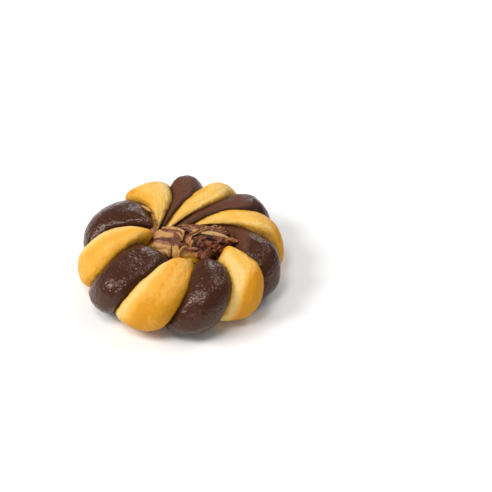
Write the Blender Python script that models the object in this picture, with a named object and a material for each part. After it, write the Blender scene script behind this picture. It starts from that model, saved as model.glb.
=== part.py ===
"""A round two-dough swirl cookie, modelled in metres with +Z up.

Twelve petals of dough, vanilla and cocoa in turn, run from the middle of the flat underside, round the rim
and over the top into an oval eye, where their ends are pinched into one torn, marbled knot.
The cookie is whole, so each petal is solid right in to the stem that carries the knot.
"""

import math
from typing import NamedTuple

import bmesh
import bpy
import numpy as np
from mathutils import Vector

# The cookie's outer form
RIM_HALF_SIZE = (0.0296, 0.0290)
BASE_HALF_SIZE = (0.0212, 0.0208)
CROWN_HEIGHT = 0.0166
EQUATOR_HEIGHT = 0.0070
CREST_SHARE = 0.42
SHOULDER_POWER = 2.3

# The eye is the oval hollow in the top that the petals run down into; it lies off the cookie's axis
EYE_CENTRE = (0.0033, 0.0002)
EYE_HALF_SIZE = (0.0120, 0.0070)
EYE_HEIGHT = 0.0120
EYE_SLOPE_POWER = 2.2

# Under the knot the petals end against its stem, which narrows down to a small round foot
THROAT_HALF_SIZE = (0.0060, 0.0035)
THROAT_HEIGHT = 0.0105
FOOT_RADIUS = 0.0026
GAP = 0.0003

# Creases lean with height, and swirl on towards the middle of the top and of the underside
LEAN_DEG = 14.0
FOOT_SWIRL_DEG = 50.0
THROAT_SWIRL_DEG = 15.0
HOOK_POWER = 25
CREASE_DEPTH_AT_BASE = 0.0014
CREASE_DEPTH_UNDER = 0.0003

# Grid of a petal: steps from the middle to the shoulder, across the petal, and down its side
STEPS_THROAT = 2
STEPS_SLOPE = 4
STEPS_SHOULDER = 3
STEPS_RUN = STEPS_THROAT + STEPS_SLOPE + STEPS_SHOULDER
STEPS_ACROSS = 8
STEPS_WALL = 3
STEPS_DOWN = 2 * STEPS_WALL

# The knot's folds lie on a low dome over the eye
DOME_HALF_SIZE = (0.0112, 0.0064)
DOME_EDGE_HEIGHT = 0.0118
DOME_HEIGHT = 0.0138
DOME_STEPS = 4
FOLD_STEPS = 8
FOLD_SIDES = 8
STEM_SIDES = 24
MERGE_DISTANCE = 0.000001
FLAT_DEG = 4.0


class Crease(NamedTuple):
    """A crease between two petals.

    It starts at rim_deg under the rim, bends by bend_deg a third of the way out from the eye, and heads for
    eye_deg at the eye, where it hooks on by hook_deg; a higher power keeps its swirl nearer to the eye.
    """

    rim_deg: float
    eye_deg: float
    swirl_power: float
    bend_deg: float
    top_depth: float
    rim_depth: float
    hook_deg: float = 0.0


class Petal(NamedTuple):
    """A petal between its clockwise crease and the next one counterclockwise.

    It stands out from the cookie's form by lobe at the rim, lift on the crown and tip beside the eye, and a
    higher bluntness makes its inner end steeper. Its section is highest at the share peak, and low_ease and
    high_ease say how gently it leaves its two creases.
    """

    dough: str
    lobe: float
    lift: float
    tip: float
    peak: float
    fullness: float
    low_ease: float
    high_ease: float
    bluntness: float


CREASES = [
    Crease(-9.5, 60, 5.3, 0, 0.0020, 0.0040, 28),
    Crease(17.5, 91, 3.7, 0, 0.0011, 0.0026),
    Crease(43.5, 118, 5.0, 0, 0.0013, 0.0034),
    Crease(66.5, 128, 3.8, 0, 0.0011, 0.0036, 8),
    Crease(87, 142, 5.4, 0, 0.0017, 0.0030),
    Crease(119, 152, 6.0, -6, 0.0018, 0.0031),
    Crease(169.5, 159, 1.0, -5, 0.0018, 0.0030),
    Crease(200, 187, 1.2, 0, 0.0019, 0.0029),
    Crease(225.5, 246, 3.3, 0, 0.0025, 0.0021),
    Crease(259.5, 275, 2.6, 0, 0.0024, 0.0036),
    Crease(293, 300, 4.1, 0, 0.0024, 0.0032),
    Crease(319.5, 338, 6.4, -2, 0.0016, 0.0026),
]

# Counterclockwise from the crease on the right
PETALS = [
    Petal("vanilla", 0.0003, 0.0004, 0.0000, 0.36, 2.3, 0.4, 1.0, 2.2),
    Petal("cocoa", 0.0006, -0.0006, 0.0000, 0.45, 2.4, 0.5, 1.1, 2.2),
    Petal("vanilla", 0.0000, 0.0000, 0.0000, 0.40, 2.3, 0.6, 1.1, 2.5),
    Petal("cocoa", 0.0007, -0.0007, 0.0000, 0.52, 2.6, 0.8, 0.9, 2.8),
    Petal("vanilla", -0.0002, 0.0003, 0.0000, 0.48, 2.7, 0.7, 0.4, 2.0),
    Petal("cocoa", -0.0004, 0.0004, 0.0016, 0.58, 1.8, 0.6, 0.4, 4.0),
    Petal("vanilla", 0.0003, 0.0000, 0.0016, 0.56, 2.1, 0.5, 0.4, 8.0),
    Petal("cocoa", 0.0015, 0.0000, 0.0003, 0.55, 2.0, 0.5, 0.4, 4.0),
    Petal("vanilla", 0.0009, 0.0000, 0.0005, 0.48, 1.9, 0.5, 0.6, 2.3),
    Petal("cocoa", 0.0005, 0.0004, 0.0005, 0.47, 1.7, 0.6, 0.6, 2.2),
    Petal("vanilla", 0.0006, -0.0004, 0.0004, 0.62, 1.7, 0.7, 0.4, 4.5),
    Petal("cocoa", 0.0005, -0.0003, 0.0006, 0.50, 1.7, 0.7, 0.8, 2.2),
]
COUNT = len(PETALS)
STEP_DEG = 360 / COUNT


class Fold(NamedTuple):
    """A fold of the knot, from its start through its middle to its end, wide and thick as given halfway."""

    start: tuple
    middle: tuple
    end: tuple
    half_width: float
    half_thick: float
    start_share: float
    end_share: float
    ripple: float


FOLDS = {
    "pad": Fold((-0.0075, 0.0004, 0.0136), (-0.0036, 0.0009, 0.0143), (0.0019, 0.0008, 0.0142),
                0.0035, 0.0013, 0.75, 0.95, 0.05),
    "bridge": Fold((-0.0024, 0.0044, 0.0135), (0.0014, 0.0038, 0.0141), (0.0048, 0.0018, 0.0142),
                   0.0016, 0.0010, 0.8, 0.8, 0.05),
    "crescent": Fold((-0.0080, -0.0006, 0.0133), (-0.0040, -0.0014, 0.0142), (0.0017, -0.0031, 0.0137),
                     0.0013, 0.0010, 0.8, 0.8, 0.05),
    "drape": Fold((-0.0077, -0.0015, 0.0128), (-0.0053, -0.0027, 0.0134), (-0.0018, -0.0036, 0.0134),
                  0.0013, 0.0013, 0.8, 0.8, 0.08),
    "drape_end": Fold((-0.0070, -0.0026, 0.0120), (-0.0046, -0.0040, 0.0125), (-0.0022, -0.0046, 0.0126),
                      0.0010, 0.0011, 0.8, 0.8, 0.12),
    "hang_left": Fold((-0.0040, -0.0030, 0.0135), (-0.0034, -0.0045, 0.0130), (-0.0029, -0.0054, 0.0117),
                      0.0009, 0.0008, 0.8, 0.6, 0.05),
    "hang_middle": Fold((-0.0009, -0.0022, 0.0138), (-0.0010, -0.0048, 0.0136), (-0.0012, -0.0060, 0.0117),
                        0.0010, 0.0006, 0.9, 1.3, 0.0),
    "hang_right": Fold((0.0026, -0.0038, 0.0143), (0.0007, -0.0047, 0.0141), (0.0000, -0.0060, 0.0122),
                       0.0004, 0.0009, 0.8, 0.8, 0.0),
    "ramp": Fold((-0.0006, -0.0050, 0.0102), (0.0027, -0.0054, 0.0109), (0.0058, -0.0049, 0.0104),
                 0.0016, 0.0008, 1.2, 1.2, 0.0),
    "meet_left": Fold((0.0013, -0.0017, 0.0146), (0.0026, -0.0024, 0.0148), (0.0032, -0.0036, 0.0142),
                      0.0007, 0.0007, 0.8, 0.8, 0.15),
    "meet_right": Fold((0.0026, -0.0006, 0.0149), (0.0034, -0.0017, 0.0150), (0.0033, -0.0030, 0.0147),
                       0.0006, 0.0006, 0.8, 0.8, 0.15),
    "sliver": Fold((0.0060, 0.0006, 0.0149), (0.0096, 0.0008, 0.0152), (0.0143, -0.0010, 0.0148),
                   0.0010, 0.0006, 0.8, 0.6, 0.02),
    "right_lump": Fold((0.0040, -0.0008, 0.0136), (0.0093, -0.0012, 0.0140), (0.0148, -0.0016, 0.0137),
                       0.0022, 0.0015, 0.8, 0.6, 0.12),
    "crag": Fold((0.0046, -0.0023, 0.0130), (0.0083, -0.0034, 0.0133), (0.0132, -0.0026, 0.0131),
                 0.0018, 0.0016, 0.8, 0.8, 0.16),
    "crag_low": Fold((0.0056, -0.0038, 0.0120), (0.0081, -0.0046, 0.0124), (0.0112, -0.0040, 0.0120),
                     0.0014, 0.0015, 0.8, 0.8, 0.16),
    "blob": Fold((0.0026, -0.0041, 0.0138), (0.0038, -0.0044, 0.0142), (0.0054, -0.0044, 0.0138),
                 0.0007, 0.0006, 0.8, 0.8, 0.05),
    "neck": Fold((0.0077, -0.0042, 0.0128), (0.0074, -0.0066, 0.0136), (0.0074, -0.0092, 0.0146),
                 0.0015, 0.0013, 1.0, 0.8, 0.12),
    "right_point": Fold((0.0128, -0.0012, 0.0144), (0.0150, -0.0014, 0.0149), (0.0168, -0.0022, 0.0145),
                        0.0009, 0.0008, 0.8, 0.5, 0.05),
    "back_band": Fold((-0.0030, 0.0052, 0.0121), (0.0052, 0.0054, 0.0128), (0.0142, 0.0030, 0.0127),
                      0.0018, 0.0011, 0.8, 0.8, 0.05),
    "sheet": Fold((-0.0081, 0.0048, 0.0143), (-0.0077, 0.0026, 0.0143), (-0.0085, 0.0003, 0.0137),
                  0.0011, 0.0012, 0.8, 0.8, 0.0),
}

DOUGH_LOOKS = {
    "vanilla": ((0.86, 0.52, 0.15, 1.0), 0.60),
    "cocoa": ((0.055, 0.025, 0.018, 1.0), 0.42),
    "marbled": ((0.30, 0.14, 0.06, 1.0), 0.50),
}


class Ring(NamedTuple):
    """One oval of the cookie's outer form, and how the creases cut into it."""

    share: float
    half_x: float
    half_y: float
    height: float
    zone: str
    way: float


def mix(low, high, share):
    """The value at a share of the way from low to high."""
    return low + (high - low) * share


def smooth(value, low, high):
    """0 below low and 1 above high, with a soft step between them."""
    share = min(1.0, max(0.0, (value - low) / (high - low)))
    return share * share * (3 - 2 * share)


def form_ring(share, height, zone):
    """The oval at a share of the way from the eye to the rim."""
    half_x = mix(EYE_HALF_SIZE[0], RIM_HALF_SIZE[0], share)
    half_y = mix(EYE_HALF_SIZE[1], RIM_HALF_SIZE[1], share)
    return Ring(share, half_x, half_y, height, zone, min(1.0, share / CREST_SHARE))


def profile_rings():
    """The ovals of the outer form in order: throat, eye, crest, rim, base edge, underside, foot."""
    rings = []
    for i in range(STEPS_THROAT):
        way = i / STEPS_THROAT
        half_x = mix(THROAT_HALF_SIZE[0], EYE_HALF_SIZE[0], way)
        half_y = mix(THROAT_HALF_SIZE[1], EYE_HALF_SIZE[1], way)
        rings.append(Ring(0.0, half_x, half_y, mix(THROAT_HEIGHT, EYE_HEIGHT, way), "throat", way))
    for i in range(STEPS_SLOPE):
        way = i / STEPS_SLOPE
        height = CROWN_HEIGHT - (CROWN_HEIGHT - EYE_HEIGHT) * (1 - way) ** EYE_SLOPE_POWER
        rings.append(form_ring(CREST_SHARE * way, height, "top"))
    for i in range(STEPS_SHOULDER + STEPS_WALL + 1):
        turn = math.pi / 2 * (1 - i / (STEPS_SHOULDER + STEPS_WALL))
        share = mix(CREST_SHARE, 1.0, math.cos(turn) ** (2 / SHOULDER_POWER))
        height = mix(EQUATOR_HEIGHT, CROWN_HEIGHT, math.sin(turn) ** (2 / SHOULDER_POWER))
        rings.append(form_ring(share, height, "top"))
    for i in range(1, STEPS_WALL + 1):
        turn = math.pi / 2 * i / STEPS_WALL
        half_x = mix(BASE_HALF_SIZE[0], RIM_HALF_SIZE[0], math.cos(turn))
        half_y = mix(BASE_HALF_SIZE[1], RIM_HALF_SIZE[1], math.cos(turn))
        rings.append(Ring(1.0, half_x, half_y, EQUATOR_HEIGHT * (1 - math.sin(turn)), "lower", 0.0))
    for i in range(1, STEPS_RUN + 1):
        way = i / STEPS_RUN
        half_x = mix(BASE_HALF_SIZE[0], FOOT_RADIUS, way)
        half_y = mix(BASE_HALF_SIZE[1], FOOT_RADIUS, way)
        rings.append(Ring(1.0, half_x, half_y, 0.0, "under", way))
    return rings


RINGS = profile_rings()
LAST_RING = len(RINGS) - 1
SHOULDER_RING = STEPS_RUN
BASE_RING = STEPS_RUN + STEPS_DOWN


def ring_normals():
    """The outward direction of the form at each oval, as its level share and its upward share."""
    line = np.array([((ring.half_x + ring.half_y) / 2, ring.height) for ring in RINGS])
    run = np.gradient(line, axis=0)
    normals = np.stack([-run[:, 1], run[:, 0]], axis=1)
    normals /= np.linalg.norm(normals, axis=1)[:, None]
    return normals


NORMALS = ring_normals()


def ring_point(half_x, half_y, centre_share, height, deg, normal, inset):
    """A point of an oval, moved in from the surface along the form's normal."""
    turn = math.radians(deg)
    out = np.array([math.cos(turn) / half_x, math.sin(turn) / half_y])
    out /= np.linalg.norm(out)
    x = EYE_CENTRE[0] * centre_share + half_x * math.cos(turn) - inset * normal[0] * out[0]
    y = EYE_CENTRE[1] * centre_share + half_y * math.sin(turn) - inset * normal[0] * out[1]
    return np.array([x, y, max(0.0, height - inset * normal[1])])


def surface_point(index, deg, inset):
    """A point of the outer form's oval with the given index."""
    ring = RINGS[index]
    return ring_point(ring.half_x, ring.half_y, 1 - ring.share, ring.height, deg, NORMALS[index], inset)


def stem_size(way):
    """Half sizes, centre share and height of the stem's hole, from the throat down to the foot."""
    half_x = mix(THROAT_HALF_SIZE[0], FOOT_RADIUS, way)
    half_y = mix(THROAT_HALF_SIZE[1], FOOT_RADIUS, way)
    return half_x, half_y, 1 - way, mix(THROAT_HEIGHT, 0.0, way)


def crease_of(number):
    """A crease by its number, and the whole turns to add when the number runs past the last one."""
    return CREASES[number % COUNT], 360 * (number // COUNT)


def foot_deg(number):
    """Where a crease ends at the foot: the creases come together evenly there."""
    return STEP_DEG * number + FOOT_SWIRL_DEG


def crease_deg(number, index):
    """The angle of a crease on the oval with the given index."""
    crease, turns = crease_of(number)
    ring = RINGS[index]
    if ring.zone == "throat":
        throat = (crease.eye_deg + turns + foot_deg(number)) / 2 + THROAT_SWIRL_DEG
        return mix(throat, crease.eye_deg + crease.hook_deg + turns, ring.way)
    if ring.zone == "under":
        return mix(crease.rim_deg + turns, foot_deg(number), ring.way ** 2)
    inwards = 1 - ring.share
    eye_lean = LEAN_DEG * EYE_HEIGHT / CROWN_HEIGHT
    lean = LEAN_DEG * ring.height / CROWN_HEIGHT
    swirl = (crease.eye_deg - crease.rim_deg - eye_lean) * inwards ** crease.swirl_power
    bend = crease.bend_deg * 6.75 * ring.share * inwards ** 2
    hook = crease.hook_deg * inwards ** HOOK_POWER
    return crease.rim_deg + turns + lean + swirl + bend + hook


def crease_depth(number, index):
    """How far a crease lies below the outer form at an oval."""
    crease, _ = crease_of(number)
    ring = RINGS[index]
    if index in (0, LAST_RING):
        return 0.0
    if ring.zone == "throat":
        return crease.top_depth * ring.way
    if ring.zone == "under":
        return mix(CREASE_DEPTH_AT_BASE, CREASE_DEPTH_UNDER, smooth(ring.way, 0.0, 0.25))
    if ring.zone == "lower":
        return mix(CREASE_DEPTH_AT_BASE, crease.rim_depth, ring.height / EQUATOR_HEIGHT)
    return mix(crease.top_depth, crease.rim_depth, smooth(ring.share, 0.3, 0.95))


def swell(petal, across, zone):
    """How full a petal is at a share of the way across it: 0 at its creases, 1 on its crest."""
    side = 2 * across ** (math.log(0.5) / math.log(petal.peak)) - 1
    ease = petal.low_ease if side < 0 else petal.high_ease
    full = max(0.0, 1 - abs(side) ** petal.fullness) ** ease
    if zone == "under":
        return min(1.0, 2.5 * full)
    return full


def petal_inset(number, index, across):
    """How far a petal's surface lies below the outer form."""
    petal = PETALS[number % COUNT]
    ring = RINGS[index]
    full = swell(petal, across, ring.zone)
    depth = mix(crease_depth(number, index), crease_depth(number + 1, index), across)
    raised = 0.0
    if ring.zone == "top":
        raised = mix(petal.lift, petal.lobe, smooth(ring.share, 0.5, 0.95)) * smooth(ring.share, 0.0, 0.3)
        raised += petal.tip * smooth(ring.share, 0.0, 0.1) * (1 - smooth(ring.share, 0.1, CREST_SHARE))
        inwards = 1 - ring.way
        blunt = inwards ** EYE_SLOPE_POWER - inwards ** petal.bluntness
        raised += (CROWN_HEIGHT - EYE_HEIGHT) * blunt
    if ring.zone == "lower":
        raised = petal.lobe * ring.height / EQUATOR_HEIGHT
    return depth * (1 - full) - raised * full


def even_shares(points):
    """Each point's share of the way along the line through the points."""
    steps = np.linalg.norm(np.diff(points, axis=0), axis=1)
    way = np.concatenate([[0.0], np.cumsum(steps)])
    return way / way[-1]


def stem_edge(number):
    """The line down the stem's hole where a crease's wall ends, from the throat to the foot."""
    top_deg = crease_deg(number, 0)
    points = []
    for j in range(STEPS_DOWN + 1):
        way = j / STEPS_DOWN
        half_x, half_y, centre_share, height = stem_size(way)
        deg = mix(top_deg, foot_deg(number), way)
        points.append(ring_point(half_x, half_y, centre_share, height, deg, (1.0, 0.0), 0.0))
    return np.array(points)


def crease_line(number, first, last):
    """The crease's points on the ovals from first to last."""
    step = 1 if last >= first else -1
    return np.array([
        surface_point(index, crease_deg(number, index), crease_depth(number, index))
        for index in range(first, last + step, step)
    ])


def crease_wall(number):
    """The surface between two petals: a grid from the stem to the rim, and from the top to the underside."""
    top = crease_line(number, 0, SHOULDER_RING)
    outer = crease_line(number, SHOULDER_RING, BASE_RING)
    under = crease_line(number, LAST_RING, BASE_RING)
    inner = stem_edge(number)
    run = (even_shares(top) + even_shares(under))[:, None, None] / 2
    down = (even_shares(outer) + even_shares(inner))[None, :, None] / 2
    sides = (1 - run) * inner[None, :, :] + run * outer[None, :, :]
    ends = (1 - down) * top[:, None, :] + down * under[:, None, :]
    at_stem = (1 - down) * top[0] + down * under[0]
    at_rim = (1 - down) * top[-1] + down * under[-1]
    return sides + ends - (1 - run) * at_stem - run * at_rim


def wall_normals(wall):
    """The directions across a wall, pointing counterclockwise."""
    along = np.gradient(wall, axis=0)
    downwards = np.gradient(wall, axis=1)
    normals = np.cross(along, downwards)
    normals /= np.linalg.norm(normals, axis=2)[:, :, None]
    middle = wall[STEPS_RUN // 2, 1]
    around = np.array([-middle[1], middle[0], 0.0])
    if np.dot(normals[STEPS_RUN // 2, 1], around) < 0:
        normals = -normals
    return normals


def ring_deg(point, half_x, half_y, centre_share):
    """The angle of a point on an oval."""
    x = (point[0] - EYE_CENTRE[0] * centre_share) / half_x
    y = (point[1] - EYE_CENTRE[1] * centre_share) / half_y
    return math.degrees(math.atan2(y, x))


def between(low_deg, high_deg, share):
    """The angle at a share of the way counterclockwise from one angle to the next."""
    return low_deg + ((high_deg - low_deg) % 360) * share


def new_object(name, vertices, faces, look=None):
    """A mesh object with outward faces, shaded smooth."""
    mesh = bpy.data.meshes.new(name)
    bm = bmesh.new()
    corners = [bm.verts.new(vertex) for vertex in vertices]
    for face in faces:
        bm.faces.new([corners[i] for i in face])
    bmesh.ops.triangulate(bm, faces=bm.faces[:])
    bmesh.ops.recalc_face_normals(bm, faces=bm.faces[:])
    bm.to_mesh(mesh)
    bm.free()
    mesh.shade_smooth()
    item = bpy.data.objects.new(name, mesh)
    bpy.context.scene.collection.objects.link(item)
    if look:
        mesh.materials.append(look)
    return item


def dough_material(name, dough):
    """A plain dough finish."""
    colour, roughness = DOUGH_LOOKS[dough]
    material = bpy.data.materials.new(name)
    material.use_nodes = True
    shader = material.node_tree.nodes["Principled BSDF"]
    shader.inputs["Base Color"].default_value = colour
    shader.inputs["Roughness"].default_value = roughness
    shader.inputs["Metallic"].default_value = 0.0
    return material


def petal_grid(number, walls, normals):
    """The petal's points by their place in its block: run from the stem, across, and down."""
    low = walls[number] + normals[number] * GAP / 2
    high = walls[(number + 1) % COUNT] - normals[(number + 1) % COUNT] * GAP / 2
    low[:, :, 2] = np.maximum(low[:, :, 2], 0.0)
    high[:, :, 2] = np.maximum(high[:, :, 2], 0.0)
    points = {}
    for i in range(STEPS_RUN + 1):
        for j in range(STEPS_DOWN + 1):
            points[i, 0, j] = low[i, j]
            points[i, STEPS_ACROSS, j] = high[i, j]
    for k in range(1, STEPS_ACROSS):
        across = (1 - math.cos(math.pi * k / STEPS_ACROSS)) / 2
        for index in range(LAST_RING + 1):
            i, j = place_of(index)
            ring = RINGS[index]
            low_deg = ring_deg(low[i, j], ring.half_x, ring.half_y, 1 - ring.share)
            high_deg = ring_deg(high[i, j], ring.half_x, ring.half_y, 1 - ring.share)
            deg = between(low_deg, high_deg, across)
            points[i, k, j] = surface_point(index, deg, petal_inset(number, index, across))
        for j in range(STEPS_DOWN + 1):
            half_x, half_y, centre_share, height = stem_size(j / STEPS_DOWN)
            low_deg = ring_deg(low[0, j], half_x, half_y, centre_share)
            high_deg = ring_deg(high[0, j], half_x, half_y, centre_share)
            deg = between(low_deg, high_deg, across)
            points[0, k, j] = ring_point(half_x, half_y, centre_share, height, deg, (1.0, 0.0), 0.0)
    return points


def place_of(index):
    """The run and down steps of a petal's block that an oval of the outer form falls on."""
    if index <= SHOULDER_RING:
        return index, 0
    if index <= BASE_RING:
        return STEPS_RUN, index - SHOULDER_RING
    return LAST_RING - index, STEPS_DOWN


def block_faces(numbers):
    """The quads of the six sides of a petal's block, from the numbers of its points."""
    sizes = (STEPS_RUN, STEPS_ACROSS, STEPS_DOWN)
    faces = []
    for fixed in range(3):
        first, second = [axis for axis in range(3) if axis != fixed]
        for end in (0, sizes[fixed]):
            for a in range(sizes[first]):
                for b in range(sizes[second]):
                    quad = []
                    for step_a, step_b in ((0, 0), (1, 0), (1, 1), (0, 1)):
                        place = [0, 0, 0]
                        place[fixed] = end
                        place[first] = a + step_a
                        place[second] = b + step_b
                        quad.append(numbers[tuple(place)])
                    faces.append(quad)
    return faces


def build_petals():
    """The twelve petals, each one closed block of dough."""
    walls = [crease_wall(number) for number in range(COUNT)]
    normals = [wall_normals(wall) for wall in walls]
    made = {"vanilla": 0, "cocoa": 0}
    for number, petal in enumerate(PETALS):
        made[petal.dough] += 1
        name = f"{petal.dough}_petal_{made[petal.dough]}"
        points = petal_grid(number, walls, normals)
        numbers = {place: i for i, place in enumerate(points)}
        new_object(name, list(points.values()), block_faces(numbers), dough_material(name, petal.dough))


def fold_object(name, fold):
    """A fold as a closed tube with an oval section, rippled along its length."""
    start, middle, end = (np.array(point) for point in (fold.start, fold.middle, fold.end))
    pull = 2 * middle - (start + end) / 2
    vertices = []
    for i in range(FOLD_STEPS + 1):
        way = i / FOLD_STEPS
        centre = (1 - way) ** 2 * start + 2 * way * (1 - way) * pull + way ** 2 * end
        along = Vector(2 * (1 - way) * (pull - start) + 2 * way * (end - pull)).normalized()
        side = along.cross(Vector((0, 0, 1))).normalized()
        rise = side.cross(along).normalized()
        size = mix(fold.start_share, fold.end_share, way)
        size *= 0.25 + 0.75 * (1 - abs(2 * way - 1) ** 3) ** 0.5
        for k in range(FOLD_SIDES):
            turn = 2 * math.pi * k / FOLD_SIDES
            wave = 1 + fold.ripple * math.cos(3 * turn + 14 * way)
            width = fold.half_width * size * wave * math.cos(turn)
            thick = fold.half_thick * size * wave * math.sin(turn)
            vertices.append(Vector(centre) + side * width + rise * thick)
    faces = [list(range(FOLD_SIDES)), list(range(FOLD_STEPS * FOLD_SIDES, (FOLD_STEPS + 1) * FOLD_SIDES))]
    for i in range(FOLD_STEPS):
        for k in range(FOLD_SIDES):
            right = (k + 1) % FOLD_SIDES
            faces.append([i * FOLD_SIDES + k, i * FOLD_SIDES + right,
                          (i + 1) * FOLD_SIDES + right, (i + 1) * FOLD_SIDES + k])
    return new_object(name, vertices, faces)


def stem_object(name):
    """The stem that carries the knot: a foot in the underside, a throat, and a low dome over the eye."""
    levels = [stem_size(1.0), stem_size(0.0)]
    for j in range(DOME_STEPS):
        turn = math.pi / 2 * j / DOME_STEPS
        height = mix(DOME_EDGE_HEIGHT, DOME_HEIGHT, math.sin(turn))
        half_x = DOME_HALF_SIZE[0] * math.cos(turn) + GAP
        half_y = DOME_HALF_SIZE[1] * math.cos(turn) + GAP
        levels.append((half_x, half_y, 1.0, height))
    vertices = []
    for half_x, half_y, centre_share, height in levels:
        for k in range(STEM_SIDES):
            deg = 360 * k / STEM_SIDES
            vertices.append(ring_point(half_x, half_y, centre_share, height, deg, (1.0, 0.0), GAP))
    last = len(levels) - 1
    faces = [list(range(STEM_SIDES)), list(range(last * STEM_SIDES, (last + 1) * STEM_SIDES))]
    for j in range(last):
        for k in range(STEM_SIDES):
            right = (k + 1) % STEM_SIDES
            faces.append([j * STEM_SIDES + k, j * STEM_SIDES + right,
                          (j + 1) * STEM_SIDES + right, (j + 1) * STEM_SIDES + k])
    return new_object(name, vertices, faces)


def petal_ring_rows():
    """All the petals' form as rows of points round the stem, from the throat to the foot and up inside."""
    shares = [(1 - math.cos(math.pi * k / STEPS_ACROSS)) / 2 for k in range(STEPS_ACROSS)]
    rows = []
    for index in range(LAST_RING + 1):
        row = []
        for number in range(COUNT):
            for across in shares:
                deg = mix(crease_deg(number, index), crease_deg(number + 1, index), across)
                row.append(surface_point(index, deg, petal_inset(number, index, across)))
        rows.append(row)
    for j in range(STEPS_DOWN - 1, 0, -1):
        half_x, half_y, centre_share, height = stem_size(j / STEPS_DOWN)
        row = []
        for number in range(COUNT):
            low = mix(crease_deg(number, 0), foot_deg(number), j / STEPS_DOWN)
            high = mix(crease_deg(number + 1, 0), foot_deg(number + 1), j / STEPS_DOWN)
            for across in shares:
                deg = mix(low, high, across)
                row.append(ring_point(half_x, half_y, centre_share, height, deg, (1.0, 0.0), 0.0))
        rows.append(row)
    return np.array(rows)


def petal_ring_object(name, clearance):
    """All the petals as one closed ring, swollen by the clearance, to shape the knot's underside."""
    points = petal_ring_rows()
    along = np.roll(points, -1, axis=0) - np.roll(points, 1, axis=0)
    around = np.roll(points, -1, axis=1) - np.roll(points, 1, axis=1)
    normals = np.cross(around, along)
    normals /= np.linalg.norm(normals, axis=2)[:, :, None]
    if normals[SHOULDER_RING, 0, 2] < 0:
        normals = -normals
    points = points + normals * clearance
    count = points.shape[1]
    faces = []
    for i in range(len(points)):
        below = (i + 1) % len(points)
        for k in range(count):
            right = (k + 1) % count
            faces.append([i * count + k, i * count + right, below * count + right, below * count + k])
    return new_object(name, points.reshape(-1, 3), faces)


def apply_boolean(target, operation, operand=None, collection=None):
    """Runs a Boolean on an object and keeps its result as the object's mesh.

    The folds graze each other and the petals, where the exact solver leaves open edges.
    """
    modifier = target.modifiers.new(operation.lower(), "BOOLEAN")
    modifier.operation = operation
    modifier.solver = "MANIFOLD"
    if collection:
        modifier.operand_type = "COLLECTION"
        modifier.collection = collection
    else:
        modifier.object = operand
    bpy.context.view_layer.update()
    result = bpy.data.meshes.new_from_object(target.evaluated_get(bpy.context.evaluated_depsgraph_get()))
    target.modifiers.remove(modifier)
    old = target.data
    target.data = result
    bpy.data.meshes.remove(old)


def drop_small_shells(bm):
    """Deletes every run of joined faces but the largest."""
    shells = []
    unseen = set(bm.faces)
    while unseen:
        shell = {unseen.pop()}
        front = list(shell)
        while front:
            near = {other for face in front for edge in face.edges for other in edge.link_faces} - shell
            shell |= near
            front = list(near)
        unseen -= shell
        shells.append(shell)
    shells.sort(key=len)
    for shell in shells[:-1]:
        bmesh.ops.delete(bm, geom=list(shell), context="FACES")


def tidy_boolean_mesh(mesh):
    """Drops loose scraps, joins corners that a Boolean left close together, and merges nearly flat faces."""
    bm = bmesh.new()
    bm.from_mesh(mesh)
    drop_small_shells(bm)
    bmesh.ops.triangulate(bm, faces=bm.faces[:])
    bmesh.ops.remove_doubles(bm, verts=bm.verts[:], dist=MERGE_DISTANCE)
    bmesh.ops.dissolve_degenerate(bm, dist=MERGE_DISTANCE, edges=bm.edges[:])
    bmesh.ops.dissolve_limit(bm, angle_limit=math.radians(FLAT_DEG), verts=bm.verts[:], edges=bm.edges[:])
    bmesh.ops.triangulate(bm, faces=bm.faces[:])
    drop_small_shells(bm)
    bm.to_mesh(mesh)
    bm.free()
    mesh.shade_smooth()


def build_knot():
    """The marbled knot: folds of dough fused to one stem, and cut clear of the petals."""
    folds = bpy.data.collections.new("knot_folds")
    bpy.context.scene.collection.children.link(folds)
    for name, fold in FOLDS.items():
        item = fold_object(name, fold)
        bpy.context.scene.collection.objects.unlink(item)
        folds.objects.link(item)
    knot = stem_object("knot")
    apply_boolean(knot, "UNION", collection=folds)
    for item in list(folds.objects):
        bpy.data.objects.remove(item)
    bpy.data.collections.remove(folds)
    cutter = petal_ring_object("petal_ring", GAP)
    apply_boolean(knot, "DIFFERENCE", operand=cutter)
    bpy.data.objects.remove(cutter)
    tidy_boolean_mesh(knot.data)
    knot.data.materials.clear()
    knot.data.materials.append(dough_material("knot", "marbled"))


def main():
    """Empties the scene and builds the cookie."""
    for item in list(bpy.data.objects):
        bpy.data.objects.remove(item)
    build_petals()
    build_knot()


main()
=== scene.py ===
"""The looks of a round swirl cookie of vanilla and cocoa dough.

Twelve petals of dough run round the rim and over the top into a torn, marbled knot. Every length is in metres,
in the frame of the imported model, and angles are in degrees counterclockwise from +X, seen from above.
"""

import logging
import math
from dataclasses import dataclass, field
from enum import Enum
from typing import Any

import bpy
import numpy as np
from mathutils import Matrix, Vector, noise


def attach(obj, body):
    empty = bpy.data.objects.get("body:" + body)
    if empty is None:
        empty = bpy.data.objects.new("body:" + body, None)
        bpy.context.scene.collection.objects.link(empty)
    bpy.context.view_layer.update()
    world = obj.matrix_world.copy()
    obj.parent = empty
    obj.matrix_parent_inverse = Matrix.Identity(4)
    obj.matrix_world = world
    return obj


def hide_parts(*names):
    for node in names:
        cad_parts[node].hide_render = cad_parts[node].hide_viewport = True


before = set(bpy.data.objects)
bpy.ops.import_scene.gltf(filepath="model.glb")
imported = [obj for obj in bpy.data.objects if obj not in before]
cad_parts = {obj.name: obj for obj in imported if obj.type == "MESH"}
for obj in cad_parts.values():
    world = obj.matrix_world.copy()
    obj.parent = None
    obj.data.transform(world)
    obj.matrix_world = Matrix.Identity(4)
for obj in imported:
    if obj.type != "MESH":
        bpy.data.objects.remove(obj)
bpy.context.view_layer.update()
BODY = "root"
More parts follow.
